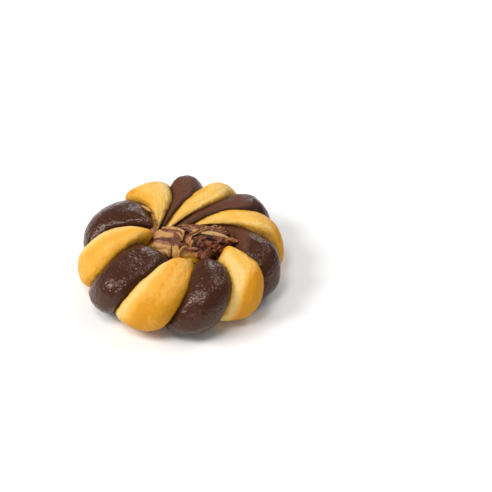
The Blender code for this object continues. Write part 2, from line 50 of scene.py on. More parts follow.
log = logging.getLogger("cookie")

Array = np.ndarray
Colour = tuple[float, float, float]
Place = tuple[float, float, float]
Pair = tuple[float, float]
Faces = list[tuple[int, ...]]


class Dough(Enum):
    """The doughs that the cookie is made of, by their material names."""

    VANILLA = "vanilla_dough"
    COCOA = "cocoa_dough"
    MARBLED = "marbled_dough"


class Zone(Enum):
    """The stretches of a petal's run from the knot round the rim to the foot underneath."""

    THROAT = 0
    TOP = 1
    LOWER = 2
    UNDER = 3


# The share of the way from eye to rim, the two half sizes, the height, the zone and the way through it
Row = tuple[float, float, float, float, Zone, float]


def mix(low: Any, high: Any, share: Any) -> Any:
    """Returns the value at a share of the way from low to high."""
    return low + (high - low) * share


def between(low: Pair, high: Pair, share: float) -> Pair:
    """Returns the pair at a share of the way from one pair to another."""
    return mix(low[0], high[0], share), mix(low[1], high[1], share)


def smooth(value: Any, low: float, high: float) -> Any:
    """Returns 0 below low and 1 above high, with a soft step between them."""
    share = np.clip((value - low) / (high - low), 0.0, 1.0)
    return share * share * (3 - 2 * share)


def grain(points: Array, size: float, seed: float, octaves: int = 1) -> Array:
    """Returns soft noise between about -1 and 1.

    Args:
        points: Places in metres, in an array whose last axis is x, y, z.
        size: Length of the largest lumps.
        seed: Offset that makes one noise differ from another.
        octaves: How many layers are added, each half as large and half as strong as the last.

    Returns:
        One value for each point.
    """
    total = np.zeros(points.shape[:-1])
    strength = 1.0
    for octave in range(octaves):
        places = (points.reshape(-1, 3) / (size / 2 ** octave) + seed * (octave + 1)).tolist()
        total += strength * np.array([noise.noise(place) for place in places]).reshape(total.shape)
        strength /= 2
    return total


@dataclass(frozen=True)
class Layer:
    """A layer of soft lumps: how long and how high they are, the seed of their pattern, and its octaves."""

    size: float
    height: float
    seed: float
    octaves: int = 1

    def relief(self, points: Array, shift: float = 0.0) -> Array:
        """Returns the height at each point, in a pattern of its own for each shift."""
        return grain(points, self.size, self.seed + shift, self.octaves) * self.height


@dataclass(frozen=True)
class Crease:
    """A crease between two petals.

    It starts at rim_deg under the rim, bends by bend_deg a third of the way out from the eye, and heads for
    eye_deg at the eye, where it hooks on by hook_deg; a higher power keeps its swirl nearer to the eye. It lies
    top_depth below the cookie's form on the crown, and rim_depth below it at the rim.
    """

    rim_deg: float
    eye_deg: float
    swirl_power: float
    bend_deg: float
    top_depth: float
    rim_depth: float
    hook_deg: float = 0.0


@dataclass(frozen=True)
class Petal:
    """A petal between its clockwise crease and the next one counterclockwise.

    It stands out from the cookie's form by lobe at the rim, lift on the crown and tip beside the eye, and a
    higher bluntness makes its inner end steeper. Its section is highest at the share peak, and low_ease and
    high_ease say how gently it leaves its two creases. crest_toast, rim_toast and end_toast say how far the oven
    browned it along its crest, round the rim and at its inner end. It is matte from matte_share inwards, and
    end_crags is how deep the crags of its torn inner end are.
    """

    dough: Dough
    lobe: float
    lift: float
    tip: float
    peak: float
    fullness: float
    low_ease: float
    high_ease: float
    bluntness: float
    crest_toast: float = 0.0
    rim_toast: float = 0.0
    matte_share: float = 0.0
    end_toast: float = 0.0
    end_crags: float = 0.0


CREASES = (
    Crease(-9.5, 60, 5.3, 0, 0.0020, 0.0040, 28),
    Crease(17.5, 91, 3.7, 0, 0.0011, 0.0026),
    Crease(43.5, 118, 5.0, 0, 0.0013, 0.0034),
    Crease(66.5, 128, 3.8, 0, 0.0011, 0.0036, 8),
    Crease(87, 142, 5.4, 0, 0.0017, 0.0030),
    Crease(119, 152, 6.0, -6, 0.0018, 0.0031),
    Crease(169.5, 159, 1.0, -5, 0.0018, 0.0030),
    Crease(200, 187, 1.2, 0, 0.0019, 0.0029),
    Crease(225.5, 246, 3.3, 0, 0.0025, 0.0021),
    Crease(259.5, 275, 2.6, 0, 0.0024, 0.0036),
    Crease(293, 300, 4.1, 0, 0.0024, 0.0032),
    Crease(319.5, 338, 6.4, -2, 0.0016, 0.0026),
)

# Counterclockwise from the first crease, which is the one on the right
PETALS = (
    Petal(Dough.VANILLA, 0.0003, 0.0004, 0.0000, 0.36, 2.3, 0.4, 1.0, 2.2, 0.30, 2.0),
    Petal(Dough.COCOA, 0.0006, -0.0006, 0.0000, 0.45, 2.4, 0.5, 1.1, 2.2, 0.0, 0.0, 0.62),
    Petal(Dough.VANILLA, 0.0000, 0.0000, 0.0000, 0.40, 2.3, 0.6, 1.1, 2.5, 0.15, 0.8),
    Petal(Dough.COCOA, 0.0007, -0.0007, 0.0000, 0.52, 2.6, 0.8, 0.9, 2.8, 0.0, 0.0, 0.82),
    Petal(Dough.VANILLA, -0.0002, 0.0003, 0.0000, 0.48, 2.7, 0.7, 0.4, 2.0, 0.10, 0.5),
    Petal(Dough.COCOA, -0.0004, 0.0004, 0.0016, 0.58, 1.8, 0.6, 0.4, 4.0, 0.0, 0.0, -0.2, 0.0, 0.0005),
    Petal(Dough.VANILLA, 0.0003, 0.0000, 0.0016, 0.56, 2.1, 0.5, 0.4, 8.0, 0.90, 0.10, 0.0, 1.3),
    Petal(Dough.COCOA, 0.0015, 0.0000, 0.0003, 0.55, 2.0, 0.5, 0.4, 4.0, 0.0, 0.0, 0.10),
    Petal(Dough.VANILLA, 0.0009, 0.0000, 0.0005, 0.48, 1.9, 0.5, 0.6, 2.3, 1.05, 0.6, 0.0, 0.5),
    Petal(Dough.COCOA, 0.0005, 0.0004, 0.0005, 0.47, 1.7, 0.6, 0.6, 2.2, 0.0, 0.0, -0.1, 0.0, 0.0003),
    # This petal's strong rim toast also paints the shade on its lower right side
    Petal(Dough.VANILLA, 0.0006, -0.0004, 0.0004, 0.62, 1.7, 0.7, 0.4, 4.5, 0.60, 2.0, 0.0, 1.5),
    Petal(Dough.COCOA, 0.0005, -0.0003, 0.0006, 0.50, 1.7, 0.7, 0.8, 2.2, 0.0, 0.0, 0.35, 0.0, 0.0006),
)
COUNT = len(PETALS)
STEP_DEG = 360 / COUNT


@dataclass(frozen=True)
class CookieForm:
    """The cookie's outer form as ovals, from the throat under the knot over the rim to the foot underneath."""

    rim_half_size: Pair = (0.0296, 0.0290)
    base_half_size: Pair = (0.0212, 0.0208)
    crown_height: float = 0.0166
    equator_height: float = 0.0070
    crest_share: float = 0.42
    shoulder_power: float = 2.3
    eye_centre: Pair = (0.0033, 0.0002)
    eye_half_size: Pair = (0.0120, 0.0070)
    eye_height: float = 0.0120
    eye_slope_power: float = 2.2
    throat_half_size: Pair = (0.0060, 0.0035)
    throat_height: float = 0.0105
    foot_radius: float = 0.0026
    lean_deg: float = 14.0
    foot_swirl_deg: float = 50.0
    throat_swirl_deg: float = 15.0
    base_crease_depth: float = 0.0023
    under_crease_depth: float = 0.0003
    crease_deepens: Pair = (0.3, 0.95)
    under_crease_ends: float = 0.25
    bend_scale: float = 6.75
    hook_power: float = 25.0
    long_stray: Layer = Layer(0.0035, 1.0, 21.0)
    short_stray: Layer = Layer(0.0011, 0.5, 31.0)
    stray_heights: Pair = (0.0005, 0.0030)
    throat_rows: int = 6
    slope_rows: int = 62
    wall_rows: int = 104
    lower_rows: int = 34
    under_rows: int = 16

    def rings(self) -> "Rings":
        """Lays out the ovals, with as many rows as the fields ask for.

        Returns:
            The ovals in order, from the throat to the foot.
        """
        rows: list[Row] = []
        for i in range(self.throat_rows):
            way = i / self.throat_rows
            half_size = between(self.throat_half_size, self.eye_half_size, way)
            rows.append((0.0, *half_size, mix(self.throat_height, self.eye_height, way), Zone.THROAT, way))
        for i in range(self.slope_rows):
            way = i / self.slope_rows
            drop = (self.crown_height - self.eye_height) * (1 - way) ** self.eye_slope_power
            rows.append(self.oval(self.crest_share * way, self.crown_height - drop, way))
        for i in range(self.wall_rows + 1):
            turn = math.pi / 2 * (1 - i / self.wall_rows)
            power = 2 / self.shoulder_power
            share = mix(self.crest_share, 1.0, max(0.0, math.cos(turn)) ** power)
            rows.append(self.oval(share, mix(self.equator_height, self.crown_height, math.sin(turn) ** power), 1.0))
        for i in range(1, self.lower_rows + 1):
            turn = math.pi / 2 * i / self.lower_rows
            half_size = between(self.base_half_size, self.rim_half_size, math.cos(turn))
            rows.append((1.0, *half_size, self.equator_height * (1 - math.sin(turn)), Zone.LOWER, 0.0))
        for i in range(1, self.under_rows + 1):
            way = i / self.under_rows
            half_size = between(self.base_half_size, (self.foot_radius, self.foot_radius), way)
            rows.append((1.0, *half_size, 0.0, Zone.UNDER, way))
        return Rings(self, rows)

    def oval(self, share: float, height: float, way: float) -> Row:
        """Returns the row of the oval at a share of the way from the eye to the rim."""
        return share, *between(self.eye_half_size, self.rim_half_size, share), height, Zone.TOP, way


class Rings:
    """The ovals of a cookie's form as arrays, one entry for each oval."""

    def __init__(self, form: CookieForm, rows: list[Row]) -> None:
        """Keeps the rows as arrays and works out which way the form faces at each.

        Args:
            form: The sizes that the rows come from.
            rows: What is known of each oval.
        """
        self.form = form
        self.share, self.half_x, self.half_y, self.height = (np.array([row[i] for row in rows]) for i in range(4))
        self.zone = np.array([row[4].value for row in rows])
        self.way = np.array([row[5] for row in rows])
        line = np.stack([(self.half_x + self.half_y) / 2, self.height], axis=1)
        run = np.gradient(line, axis=0)
        facing = np.stack([-run[:, 1], run[:, 0]], axis=1)
        facing /= np.linalg.norm(facing, axis=1)[:, None]
        self.out, self.up = facing[:, 0], facing[:, 1]

    def __len__(self) -> int:
        """Returns how many ovals there are."""
        return len(self.share)

    def inside(self, zone: Zone) -> Array:
        """Returns which ovals lie in a zone."""
        return self.zone == zone.value

    def crease_deg(self, number: int, wobble: float = 0.0) -> Array:
        """Returns the angle of a crease on every oval.

        Args:
            number: The crease's number, which may run past the last one into the next turn.
            wobble: How far the crease strays from its even line, in metres.

        Returns:
            Angles in degrees.
        """
        form = self.form
        crease = CREASES[number % COUNT]
        turns = 360 * (number // COUNT)
        rim, eye = crease.rim_deg + turns, crease.eye_deg + turns
        foot = STEP_DEG * number + form.foot_swirl_deg
        throat = (eye + foot) / 2 + form.throat_swirl_deg
        edge = eye + crease.hook_deg
        eye_lean = form.lean_deg * form.eye_height / form.crown_height
        inwards = 1 - self.share
        over = rim + form.lean_deg * self.height / form.crown_height
        over = over + (eye - rim - eye_lean) * inwards ** crease.swirl_power
        over = over + crease.bend_deg * form.bend_scale * self.share * inwards ** 2
        over = over + crease.hook_deg * inwards ** form.hook_power
        over = np.where(self.inside(Zone.UNDER), mix(rim, foot, self.way ** 2), over)
        degrees = np.where(self.inside(Zone.THROAT), mix(throat, edge, self.way), over)
        if wobble:
            line = self.points(degrees[:, None], np.zeros((len(self), 1)))[:, 0]
            stray = sum(layer.relief(line, number % COUNT) for layer in (form.long_stray, form.short_stray))
            shown = smooth(self.height, *form.stray_heights) * np.where(self.inside(Zone.THROAT), 0.0, 1.0)
            degrees = degrees + np.degrees(stray * shown * wobble / ((self.half_x + self.half_y) / 2))
        return degrees

    def crease_depth(self, number: int) -> Array:
        """Works out how far a crease lies below the form on every oval.

        Args:
            number: The crease's number.

        Returns:
            Depths in metres.
        """
        form = self.form
        crease = CREASES[number % COUNT]
        depth = mix(crease.top_depth, crease.rim_depth, smooth(self.share, *form.crease_deepens))
        low = mix(form.base_crease_depth, crease.rim_depth, self.height / form.equator_height)
        depth = np.where(self.inside(Zone.LOWER), low, depth)
        flatter = smooth(self.way, 0.0, form.under_crease_ends)
        under = mix(form.base_crease_depth, form.under_crease_depth, flatter)
        depth = np.where(self.inside(Zone.UNDER), under, depth)
        return np.where(self.inside(Zone.THROAT), crease.top_depth * self.way, depth)

    def points(self, degrees: Array, inset: Array) -> Array:
        """Returns points of the form.

        Args:
            degrees: Angles, one row for each oval and one column across.
            inset: How far each point is moved in from the surface.

        Returns:
            The points, in rows and columns like the angles.
        """
        turn = np.radians(degrees)
        half_x, half_y, out, up = (a[:, None] for a in (self.half_x, self.half_y, self.out, self.up))
        face = np.stack([np.cos(turn) / half_x, np.sin(turn) / half_y], axis=2)
        face /= np.linalg.norm(face, axis=2)[:, :, None]
        centre = (1 - self.share)[:, None]
        x = self.form.eye_centre[0] * centre + half_x * np.cos(turn) - inset * out * face[:, :, 0]
        y = self.form.eye_centre[1] * centre + half_y * np.sin(turn) - inset * out * face[:, :, 1]
        z = np.maximum(0.0, self.height[:, None] - inset * up)
        return np.stack([x, y, z], axis=2)


def write_marks(mesh: bpy.types.Mesh, marks: dict[str, Array]) -> None:
    """Keeps a value at every point of a mesh for each named mark."""
    for mark, values in marks.items():
        mesh.attributes.new(mark, "FLOAT", "POINT").data.foreach_set("value", values.astype(np.float32).ravel())


def mesh_object(name: str, points: Array, faces: Faces, marks: dict[str, Array]) -> bpy.types.Object:
    """Makes a smooth mesh object with a value at every point for each named mark.

    Args:
        name: The piece's name.
        points: The mesh's points, one row each.
        faces: The numbers of the points round each face.
        marks: Values by name, which the piece's material reads.

    Returns:
        The object, linked to the scene.
    """
    mesh = bpy.data.meshes.new(name)
    mesh.from_pydata(points.tolist(), [], faces)
    write_marks(mesh, marks)
    mesh.shade_smooth()
    item = bpy.data.objects.new(name, mesh)
    bpy.context.scene.collection.objects.link(item)
    return item


@dataclass
class PetalSkin:
    """The fine skin of one petal, a closed body of dough, and the marks that its finish reads."""

    number: int
    name: str
    rings: Rings
    columns: int = 84
    crease_wobble: float = 0.00024
    lobe_shares: Pair = (0.5, 0.95)
    lift_starts: float = 0.3
    tip_starts: float = 0.1
    under_fullness: float = 2.5
    relief_fullness: float = 1.8
    lumps: Layer = Layer(0.0070, 0.00022, 3.1)
    ripples: Layer = Layer(0.0020, 0.00006, 8.1)
    fine: Layer = Layer(0.0006, 0.00005, 40.0, 2)
    pores: Layer = Layer(0.0009, 1.0, 60.0)
    pore_range: Pair = (0.35, 0.60)
    pore_depth: float = 0.000125
    streaks: Layer = Layer(1.0, 0.00016, 14.1, 2)
    streaks_across: float = 4.5
    streaks_along: float = 9.0
    crags: Layer = Layer(0.0016, 1.0, 12.1, 3)
    torn_shares: Pair = (0.08, 0.28)
    patches: Layer = Layer(0.0060, 1.0, 70.0, 2)
    crest_side: float = 0.02
    crest_width: float = 0.40
    crest_shares: Pair = (0.03, 0.30)
    rim_shares: Pair = (0.68, 0.98)
    rim_fullness: Pair = (0.1, 0.8)
    low_flank: Pair = (-0.3, -0.8)
    low_flank_pale: float = 0.9
    # Painted shade: the flank by the counterclockwise crease is darkened toward toasted gold, standing in for the
    # shade on that side
    shade_flank: Pair = (0.2, 0.9)
    shade_flank_shares: Pair = (0.1, 0.5)
    painted_flank_shade: float = 1.0
    patch_toast: float = 0.25
    patch_matte: float = 0.2
    end_shares: Pair = (0.05, 0.22)
    ragged: Layer = Layer(0.0012, 0.0003, 80.0, 2)
    edge_reach: Pair = (0.0001, 0.0016)
    matte_fade: float = 0.25
    crease_matte: float = 0.4

    @property
    def petal(self) -> Petal:
        """Returns the sizes of this petal."""
        return PETALS[self.number]

    def across(self) -> Array:
        """Returns the shares of the way across, closer together at the creases."""
        return (1 - np.cos(np.pi * np.arange(self.columns + 1) / self.columns)) / 2

    def side(self) -> Array:
        """Returns on which side of the crest each column lies: -1 and 1 at the creases, 0 on the crest."""
        return 2 * self.across() ** (math.log(0.5) / math.log(self.petal.peak)) - 1

    def swell(self) -> Array:
        """Works out how full the petal is at each point.

        Returns:
            Shares in rows and columns: 0 at the creases and 1 on the crest.
        """
        side = self.side()[None, :]
        ease = np.where(side < 0, self.petal.low_ease, self.petal.high_ease)
        full = np.clip(1 - np.abs(side) ** self.petal.fullness, 0.0, 1.0) ** ease
        full = np.repeat(full, len(self.rings), axis=0)
        under = self.rings.inside(Zone.UNDER)[:, None]
        return np.where(under, np.minimum(1.0, self.under_fullness * full), full)

    def raised(self) -> Array:
        """Works out how far the petal's crest stands out from the form.

        Returns:
            Heights in metres, one for each oval.
        """
        rings, petal, form = self.rings, self.petal, self.rings.form
        share = rings.share
        crown = mix(petal.lift, petal.lobe, smooth(share, *self.lobe_shares)) * smooth(share, 0.0, self.lift_starts)
        tip_ends = 1 - smooth(share, self.tip_starts, form.crest_share)
        tip = petal.tip * smooth(share, 0.0, self.tip_starts) * tip_ends
        inwards = 1 - rings.way
        blunt = (form.crown_height - form.eye_height) * (inwards ** form.eye_slope_power - inwards ** petal.bluntness)
        low = petal.lobe * rings.height / form.equator_height
        raised = np.where(rings.inside(Zone.TOP), crown + tip + blunt, 0.0)
        return np.where(rings.inside(Zone.LOWER), low, raised)

    def surface(self) -> tuple[Array, Array]:
        """Lays out the skin between the petal's two creases, with all its relief.

        Returns:
            The points in rows and columns, and how full the petal is at each.
        """
        rings, across, full = self.rings, self.across()[None, :], self.swell()
        low_deg = rings.crease_deg(self.number, self.crease_wobble)
        high_deg = rings.crease_deg(self.number + 1, self.crease_wobble)
        degrees = mix(low_deg[:, None], high_deg[:, None], across)
        low_depth, high_depth = rings.crease_depth(self.number), rings.crease_depth(self.number + 1)
        depth = mix(low_depth[:, None], high_depth[:, None], across)
        inset = depth * (1 - full) - self.raised()[:, None] * full
        points = rings.points(degrees, inset)
        free = np.minimum(1.0, self.relief_fullness * full) * np.where(rings.inside(Zone.UNDER), 0.0, 1.0)[:, None]
        relief = self.lumps.relief(points, self.number) + self.ripples.relief(points, self.number)
        relief += self.pits(points)
        along = np.linspace(0, self.streaks_along, len(rings))[:, None]
        run = np.stack(np.broadcast_arrays(across * self.streaks_across, along, np.zeros_like(degrees)), axis=2)
        relief += self.streaks.relief(run, self.number)
        torn = (1 - smooth(rings.share, *self.torn_shares))[:, None]
        relief -= torn * self.petal.end_crags * (0.5 - np.abs(self.crags.relief(points, self.number)))
        return rings.points(degrees, inset - relief * free), full

    def pits(self, points: Array) -> Array:
        """Returns the fine grain of the dough's skin, with pores in it."""
        pores = smooth(self.pores.relief(points, self.number), *self.pore_range)
        return self.fine.relief(points, self.number) - self.pore_depth * pores

    def faces(self, rows: int) -> Faces:
        """Lists the faces of the skin, of the two walls under its creases and of its inner end.

        Args:
            rows: How many rows of points the skin has.

        Returns:
            The numbers of the points round each face.
        """
        wide = self.columns + 1
        made: Faces = []
        for i in range(rows - 1):
            for k in range(self.columns):
                made.append((i * wide + k, i * wide + k + 1, (i + 1) * wide + k + 1, (i + 1) * wide + k))
        for k, flip in ((0, False), (self.columns, True)):
            for i in range((rows - 1) // 2):
                far = rows - 1 - i
                wall = [i * wide + k, (i + 1) * wide + k, (far - 1) * wide + k, far * wide + k]
                if wall[1] == wall[2]:
                    wall.pop(1)
                made.append(tuple(reversed(wall)) if flip else tuple(wall))
        last = (rows - 1) * wide
        for k in range(self.columns):
            made.append((k + 1, k, last + k, last + k + 1))
        return made

    def marks(self, points: Array, full: Array) -> dict[str, Array]:
        """Returns the values that the finish reads.

        Args:
            points: The skin's points in rows and columns.
            full: How full the petal is at each.

        Returns:
            Values by name: toast, edge and matte. Toast also carries painted shade on one flank, and edge marks the
                creases, where the finishes paint shade.
        """
        rings, petal = self.rings, self.petal
        share = np.where(rings.inside(Zone.TOP), rings.share, np.where(rings.inside(Zone.THROAT), 0.0, 1.0))[:, None]
        patches = self.patches.relief(points, self.number)
        across, side = self.across()[None, :], self.side()[None, :]
        crest = np.exp(-((side - self.crest_side) / self.crest_width) ** 2) * smooth(share, *self.crest_shares)
        rim = smooth(share, *self.rim_shares) * smooth(full, *self.rim_fullness)
        flank = self.low_flank_pale * smooth(side, *self.low_flank)
        # Painted shade on the flank by the counterclockwise crease
        shade_flank = smooth(side, *self.shade_flank) * smooth(share, *self.shade_flank_shares)
        flank = flank - self.painted_flank_shade * shade_flank
        # The toast mark is real browning plus that painted shade
        toast = petal.crest_toast * crest + petal.rim_toast * rim + self.patch_toast * patches - flank
        toast += petal.end_toast * (1 - smooth(share, *self.end_shares))
        # edge: nearness to a crease, where the finishes paint the crease's shade and the vanilla also has a real
        # cocoa stain
        width = np.linalg.norm(points[:, 0] - points[:, -1], axis=1)[:, None]
        near = np.minimum(across, 1 - across) * width
        edge = 1 - smooth(near + self.ragged.relief(points, self.number), *self.edge_reach)
        low, high = petal.matte_share - self.matte_fade, petal.matte_share + self.matte_fade
        matte = 1 - smooth(share + self.patch_matte * patches, low, high)
        return {"toast": toast, "edge": edge, "matte": mix(1.0, matte, smooth(full, 0.0, self.crease_matte))}

    def build(self) -> bpy.types.Object:
        """Builds the petal's mesh with its marks."""
        points, full = self.surface()
        return mesh_object(self.name, points.reshape(-1, 3), self.faces(len(self.rings)), self.marks(points, full))


class Tone(Enum):
    """The colours that the two doughs take where they are smeared into each other, as a share of cocoa."""

    TAN = 0.06
    RUST = 0.40
    BROWN = 0.64
    DARK = 0.98


@dataclass(frozen=True)
class Fold:
    """A fold of the knot, from its start through its middle to its end, wide and thick as given halfway.

    Its last sizes say how torn it is, and how much of its colour is pink, pale and golden. The pink also paints
    highlights, and the gold is dark enough to paint the shade of a hollow.
    """

    start: Place
    middle: Place
    end: Place
    half_width: float
    half_thick: float
    tone: Tone
    start_share: float = 0.8
    end_share: float = 0.8
    ripple: float = 0.05
    torn: float = 0.0
    pink_and_highlight: float = 0.0
    pale: float = 0.0
    gold: float = 0.0
    waves_round: int = 3
    waves_twist: float = 14.0
    end_size: float = 0.25

    def line(self, steps: int) -> Array:
        """Runs a curve along the middle of the fold.

        Args:
            steps: How many steps the curve has.

        Returns:
            The curve's points.
        """
        start, middle, end = np.array(self.start), np.array(self.middle), np.array(self.end)
        pull = 2 * middle - (start + end) / 2
        way = np.linspace(0, 1, steps + 1)[:, None]
        return (1 - way) ** 2 * start + 2 * way * (1 - way) * pull + way ** 2 * end

    def size(self, way: Any) -> Any:
        """Returns the fold's size at a share of its length, next to its size halfway."""
        ends = mix(self.end_size, 1.0, np.clip(1 - np.abs(2 * way - 1) ** 3, 0.0, 1.0) ** 0.5)
        return mix(self.start_share, self.end_share, way) * ends

    def skin(self, steps: int, sides: int) -> Array:
        """Lays out the fold's skin, which waves a little.

        Args:
            steps: How many steps it has along the fold.
            sides: How many sides it has round the fold.

        Returns:
            The points, in rings along the fold.
        """
        way = np.linspace(0, 1, steps + 1)
        turn = 2 * np.pi * np.arange(sides) / sides
        wave = 1 + self.ripple * np.cos(self.waves_round * turn[None, :] + self.waves_twist * way[:, None])
        size = self.size(way)[:, None] * wave
        return tube(self.line(steps), size * self.half_width, size * self.half_thick)


@dataclass(frozen=True)
class Stroke:
    """A thin streak, ridge or hollow in the knot's skin.

    Its places are seen square on from the knot's front, 44 degrees above the floor: across, and up from the
    middle of the underside. It is raised by relief, or sunk if that is negative. The last sizes say how much of
    its colour is pink, which also paints highlights, pale, and painted shade.
    """

    places: tuple[Pair, ...]
    half_width: float
    tone: Tone
    relief: float = 0.0
    pink_and_highlight: float = 0.0
    pale: float = 0.0
    shade: float = 0.0
    end_size: float = 0.35

    def distance(self, seen: Array) -> Array:
        """Measures how far points lie from the stroke.

        Args:
            seen: The points as seen from the knot's front, across and up.

        Returns:
            Distances, next to the stroke's half width at the nearest place.
        """
        best = np.full(len(seen), np.inf)
        total = len(self.places) - 1
        for number in range(total):
            first, last = np.array(self.places[number]), np.array(self.places[number + 1])
            run = last - first
            way = np.clip(((seen - first) @ run) / (run @ run), 0.0, 1.0)
            away = np.linalg.norm(seen - first - way[:, None] * run, axis=1)
            along = (number + way) / total
            taper = mix(self.end_size, 1.0, np.sqrt(np.clip(1 - np.abs(2 * along - 1) ** 4, 0.0, 1.0)))
            best = np.minimum(best, away / (self.half_width * taper))
        return best


FOLDS = {
    "pad": Fold((-0.0075, 0.0004, 0.0136), (-0.0036, 0.0009, 0.0143), (0.0019, 0.0008, 0.0142),
        0.0035, 0.0013, Tone.TAN, start_share=0.75, end_share=0.95),
    "bridge": Fold((-0.0024, 0.0044, 0.0135), (0.0014, 0.0038, 0.0141), (0.0048, 0.0018, 0.0142),
        0.0016, 0.0010, Tone.DARK),
    "crescent": Fold((-0.0080, -0.0006, 0.0133), (-0.0040, -0.0014, 0.0142), (0.0017, -0.0031, 0.0137),
        0.0013, 0.0010, Tone.DARK, pink_and_highlight=0.25),
    "drape": Fold((-0.0077, -0.0015, 0.0128), (-0.0053, -0.0027, 0.0134), (-0.0018, -0.0036, 0.0134),
        0.0013, 0.0013, Tone.TAN, ripple=0.08, pink_and_highlight=0.30),
    "drape_end": Fold((-0.0070, -0.0026, 0.0120), (-0.0046, -0.0040, 0.0125), (-0.0022, -0.0046, 0.0126),
        0.0010, 0.0011, Tone.TAN, ripple=0.12, pink_and_highlight=0.15, gold=0.3),
    "hang_left": Fold((-0.0040, -0.0030, 0.0135), (-0.0034, -0.0045, 0.0130), (-0.0029, -0.0054, 0.0117),
        0.0009, 0.0008, Tone.TAN, end_share=0.6, pink_and_highlight=0.2),
    "hang_middle": Fold((-0.0009, -0.0022, 0.0138), (-0.0010, -0.0048, 0.0136), (-0.0012, -0.0060, 0.0117),
        0.0010, 0.0006, Tone.TAN, start_share=0.9, end_share=1.3, ripple=0.0, gold=0.25),
    "hang_right": Fold((0.0026, -0.0038, 0.0143), (0.0007, -0.0047, 0.0141), (0.0000, -0.0060, 0.0122),
        0.0004, 0.0009, Tone.TAN, ripple=0.0, pale=0.3),
    # Painted shade: the ramp's deep gold stands for the shade in the hollow at the petal's inner end
    "ramp": Fold((-0.0006, -0.0050, 0.0102), (0.0027, -0.0054, 0.0109), (0.0058, -0.0049, 0.0104),
        0.0016, 0.0008, Tone.TAN, start_share=1.2, end_share=1.2, ripple=0.0, gold=1.2),
    "meet_left": Fold((0.0013, -0.0017, 0.0146), (0.0026, -0.0024, 0.0148), (0.0032, -0.0036, 0.0142),
        0.0007, 0.0007, Tone.RUST, ripple=0.15, torn=0.3),
    "meet_right": Fold((0.0026, -0.0006, 0.0149), (0.0034, -0.0017, 0.0150), (0.0033, -0.0030, 0.0147),
        0.0006, 0.0006, Tone.TAN, ripple=0.15, torn=0.3),
    "sliver": Fold((0.0060, 0.0006, 0.0149), (0.0096, 0.0008, 0.0152), (0.0143, -0.0010, 0.0148),
        0.0010, 0.0006, Tone.TAN, end_share=0.6, ripple=0.02, pale=1.0),
    "right_lump": Fold((0.0040, -0.0008, 0.0136), (0.0093, -0.0012, 0.0140), (0.0148, -0.0016, 0.0137),
        0.0022, 0.0015, Tone.BROWN, end_share=0.6, ripple=0.12, torn=0.8),
    "crag": Fold((0.0046, -0.0023, 0.0130), (0.0083, -0.0034, 0.0133), (0.0132, -0.0026, 0.0131),
        0.0018, 0.0016, Tone.BROWN, ripple=0.16, torn=1.0),
    "crag_low": Fold((0.0056, -0.0038, 0.0120), (0.0081, -0.0046, 0.0124), (0.0112, -0.0040, 0.0120),
        0.0014, 0.0015, Tone.DARK, ripple=0.16, torn=1.0),
    # Painted highlight: the blob is coloured all pink, the pale glint of a glossy lump
    "blob": Fold((0.0026, -0.0041, 0.0138), (0.0038, -0.0044, 0.0142), (0.0054, -0.0044, 0.0138),
        0.0007, 0.0006, Tone.BROWN, ripple=0.05, pink_and_highlight=1.0),
    "neck": Fold((0.0077, -0.0042, 0.0128), (0.0074, -0.0066, 0.0136), (0.0074, -0.0092, 0.0146),
        0.0015, 0.0013, Tone.BROWN, start_share=1.0, ripple=0.12, torn=0.8, pink_and_highlight=0.2),
    "right_point": Fold((0.0128, -0.0012, 0.0144), (0.0150, -0.0014, 0.0149), (0.0168, -0.0022, 0.0145),
        0.0009, 0.0008, Tone.RUST, end_share=0.5, torn=0.4),
    "back_band": Fold((-0.0030, 0.0052, 0.0121), (0.0052, 0.0054, 0.0128), (0.0142, 0.0030, 0.0127),
        0.0018, 0.0011, Tone.BROWN, torn=0.1),
    "sheet": Fold((-0.0081, 0.0048, 0.0143), (-0.0077, 0.0026, 0.0143), (-0.0085, 0.0003, 0.0137),
        0.0011, 0.0012, Tone.BROWN, ripple=0.0, pink_and_highlight=1.1),
}

# Torn skins of dough that lie over the end of the petal beside the knot
FILMS = (
    Fold((-0.0111, 0.0113, 0.0163), (-0.0092, 0.0094, 0.0165), (-0.0077, 0.0087, 0.0154),
        0.0005, 0.0004, Tone.TAN, ripple=0.15),
    Fold((-0.0077, 0.0092, 0.0154), (-0.0073, 0.0080, 0.0146), (-0.0066, 0.0056, 0.0140),
        0.0005, 0.0004, Tone.RUST, ripple=0.15),
)

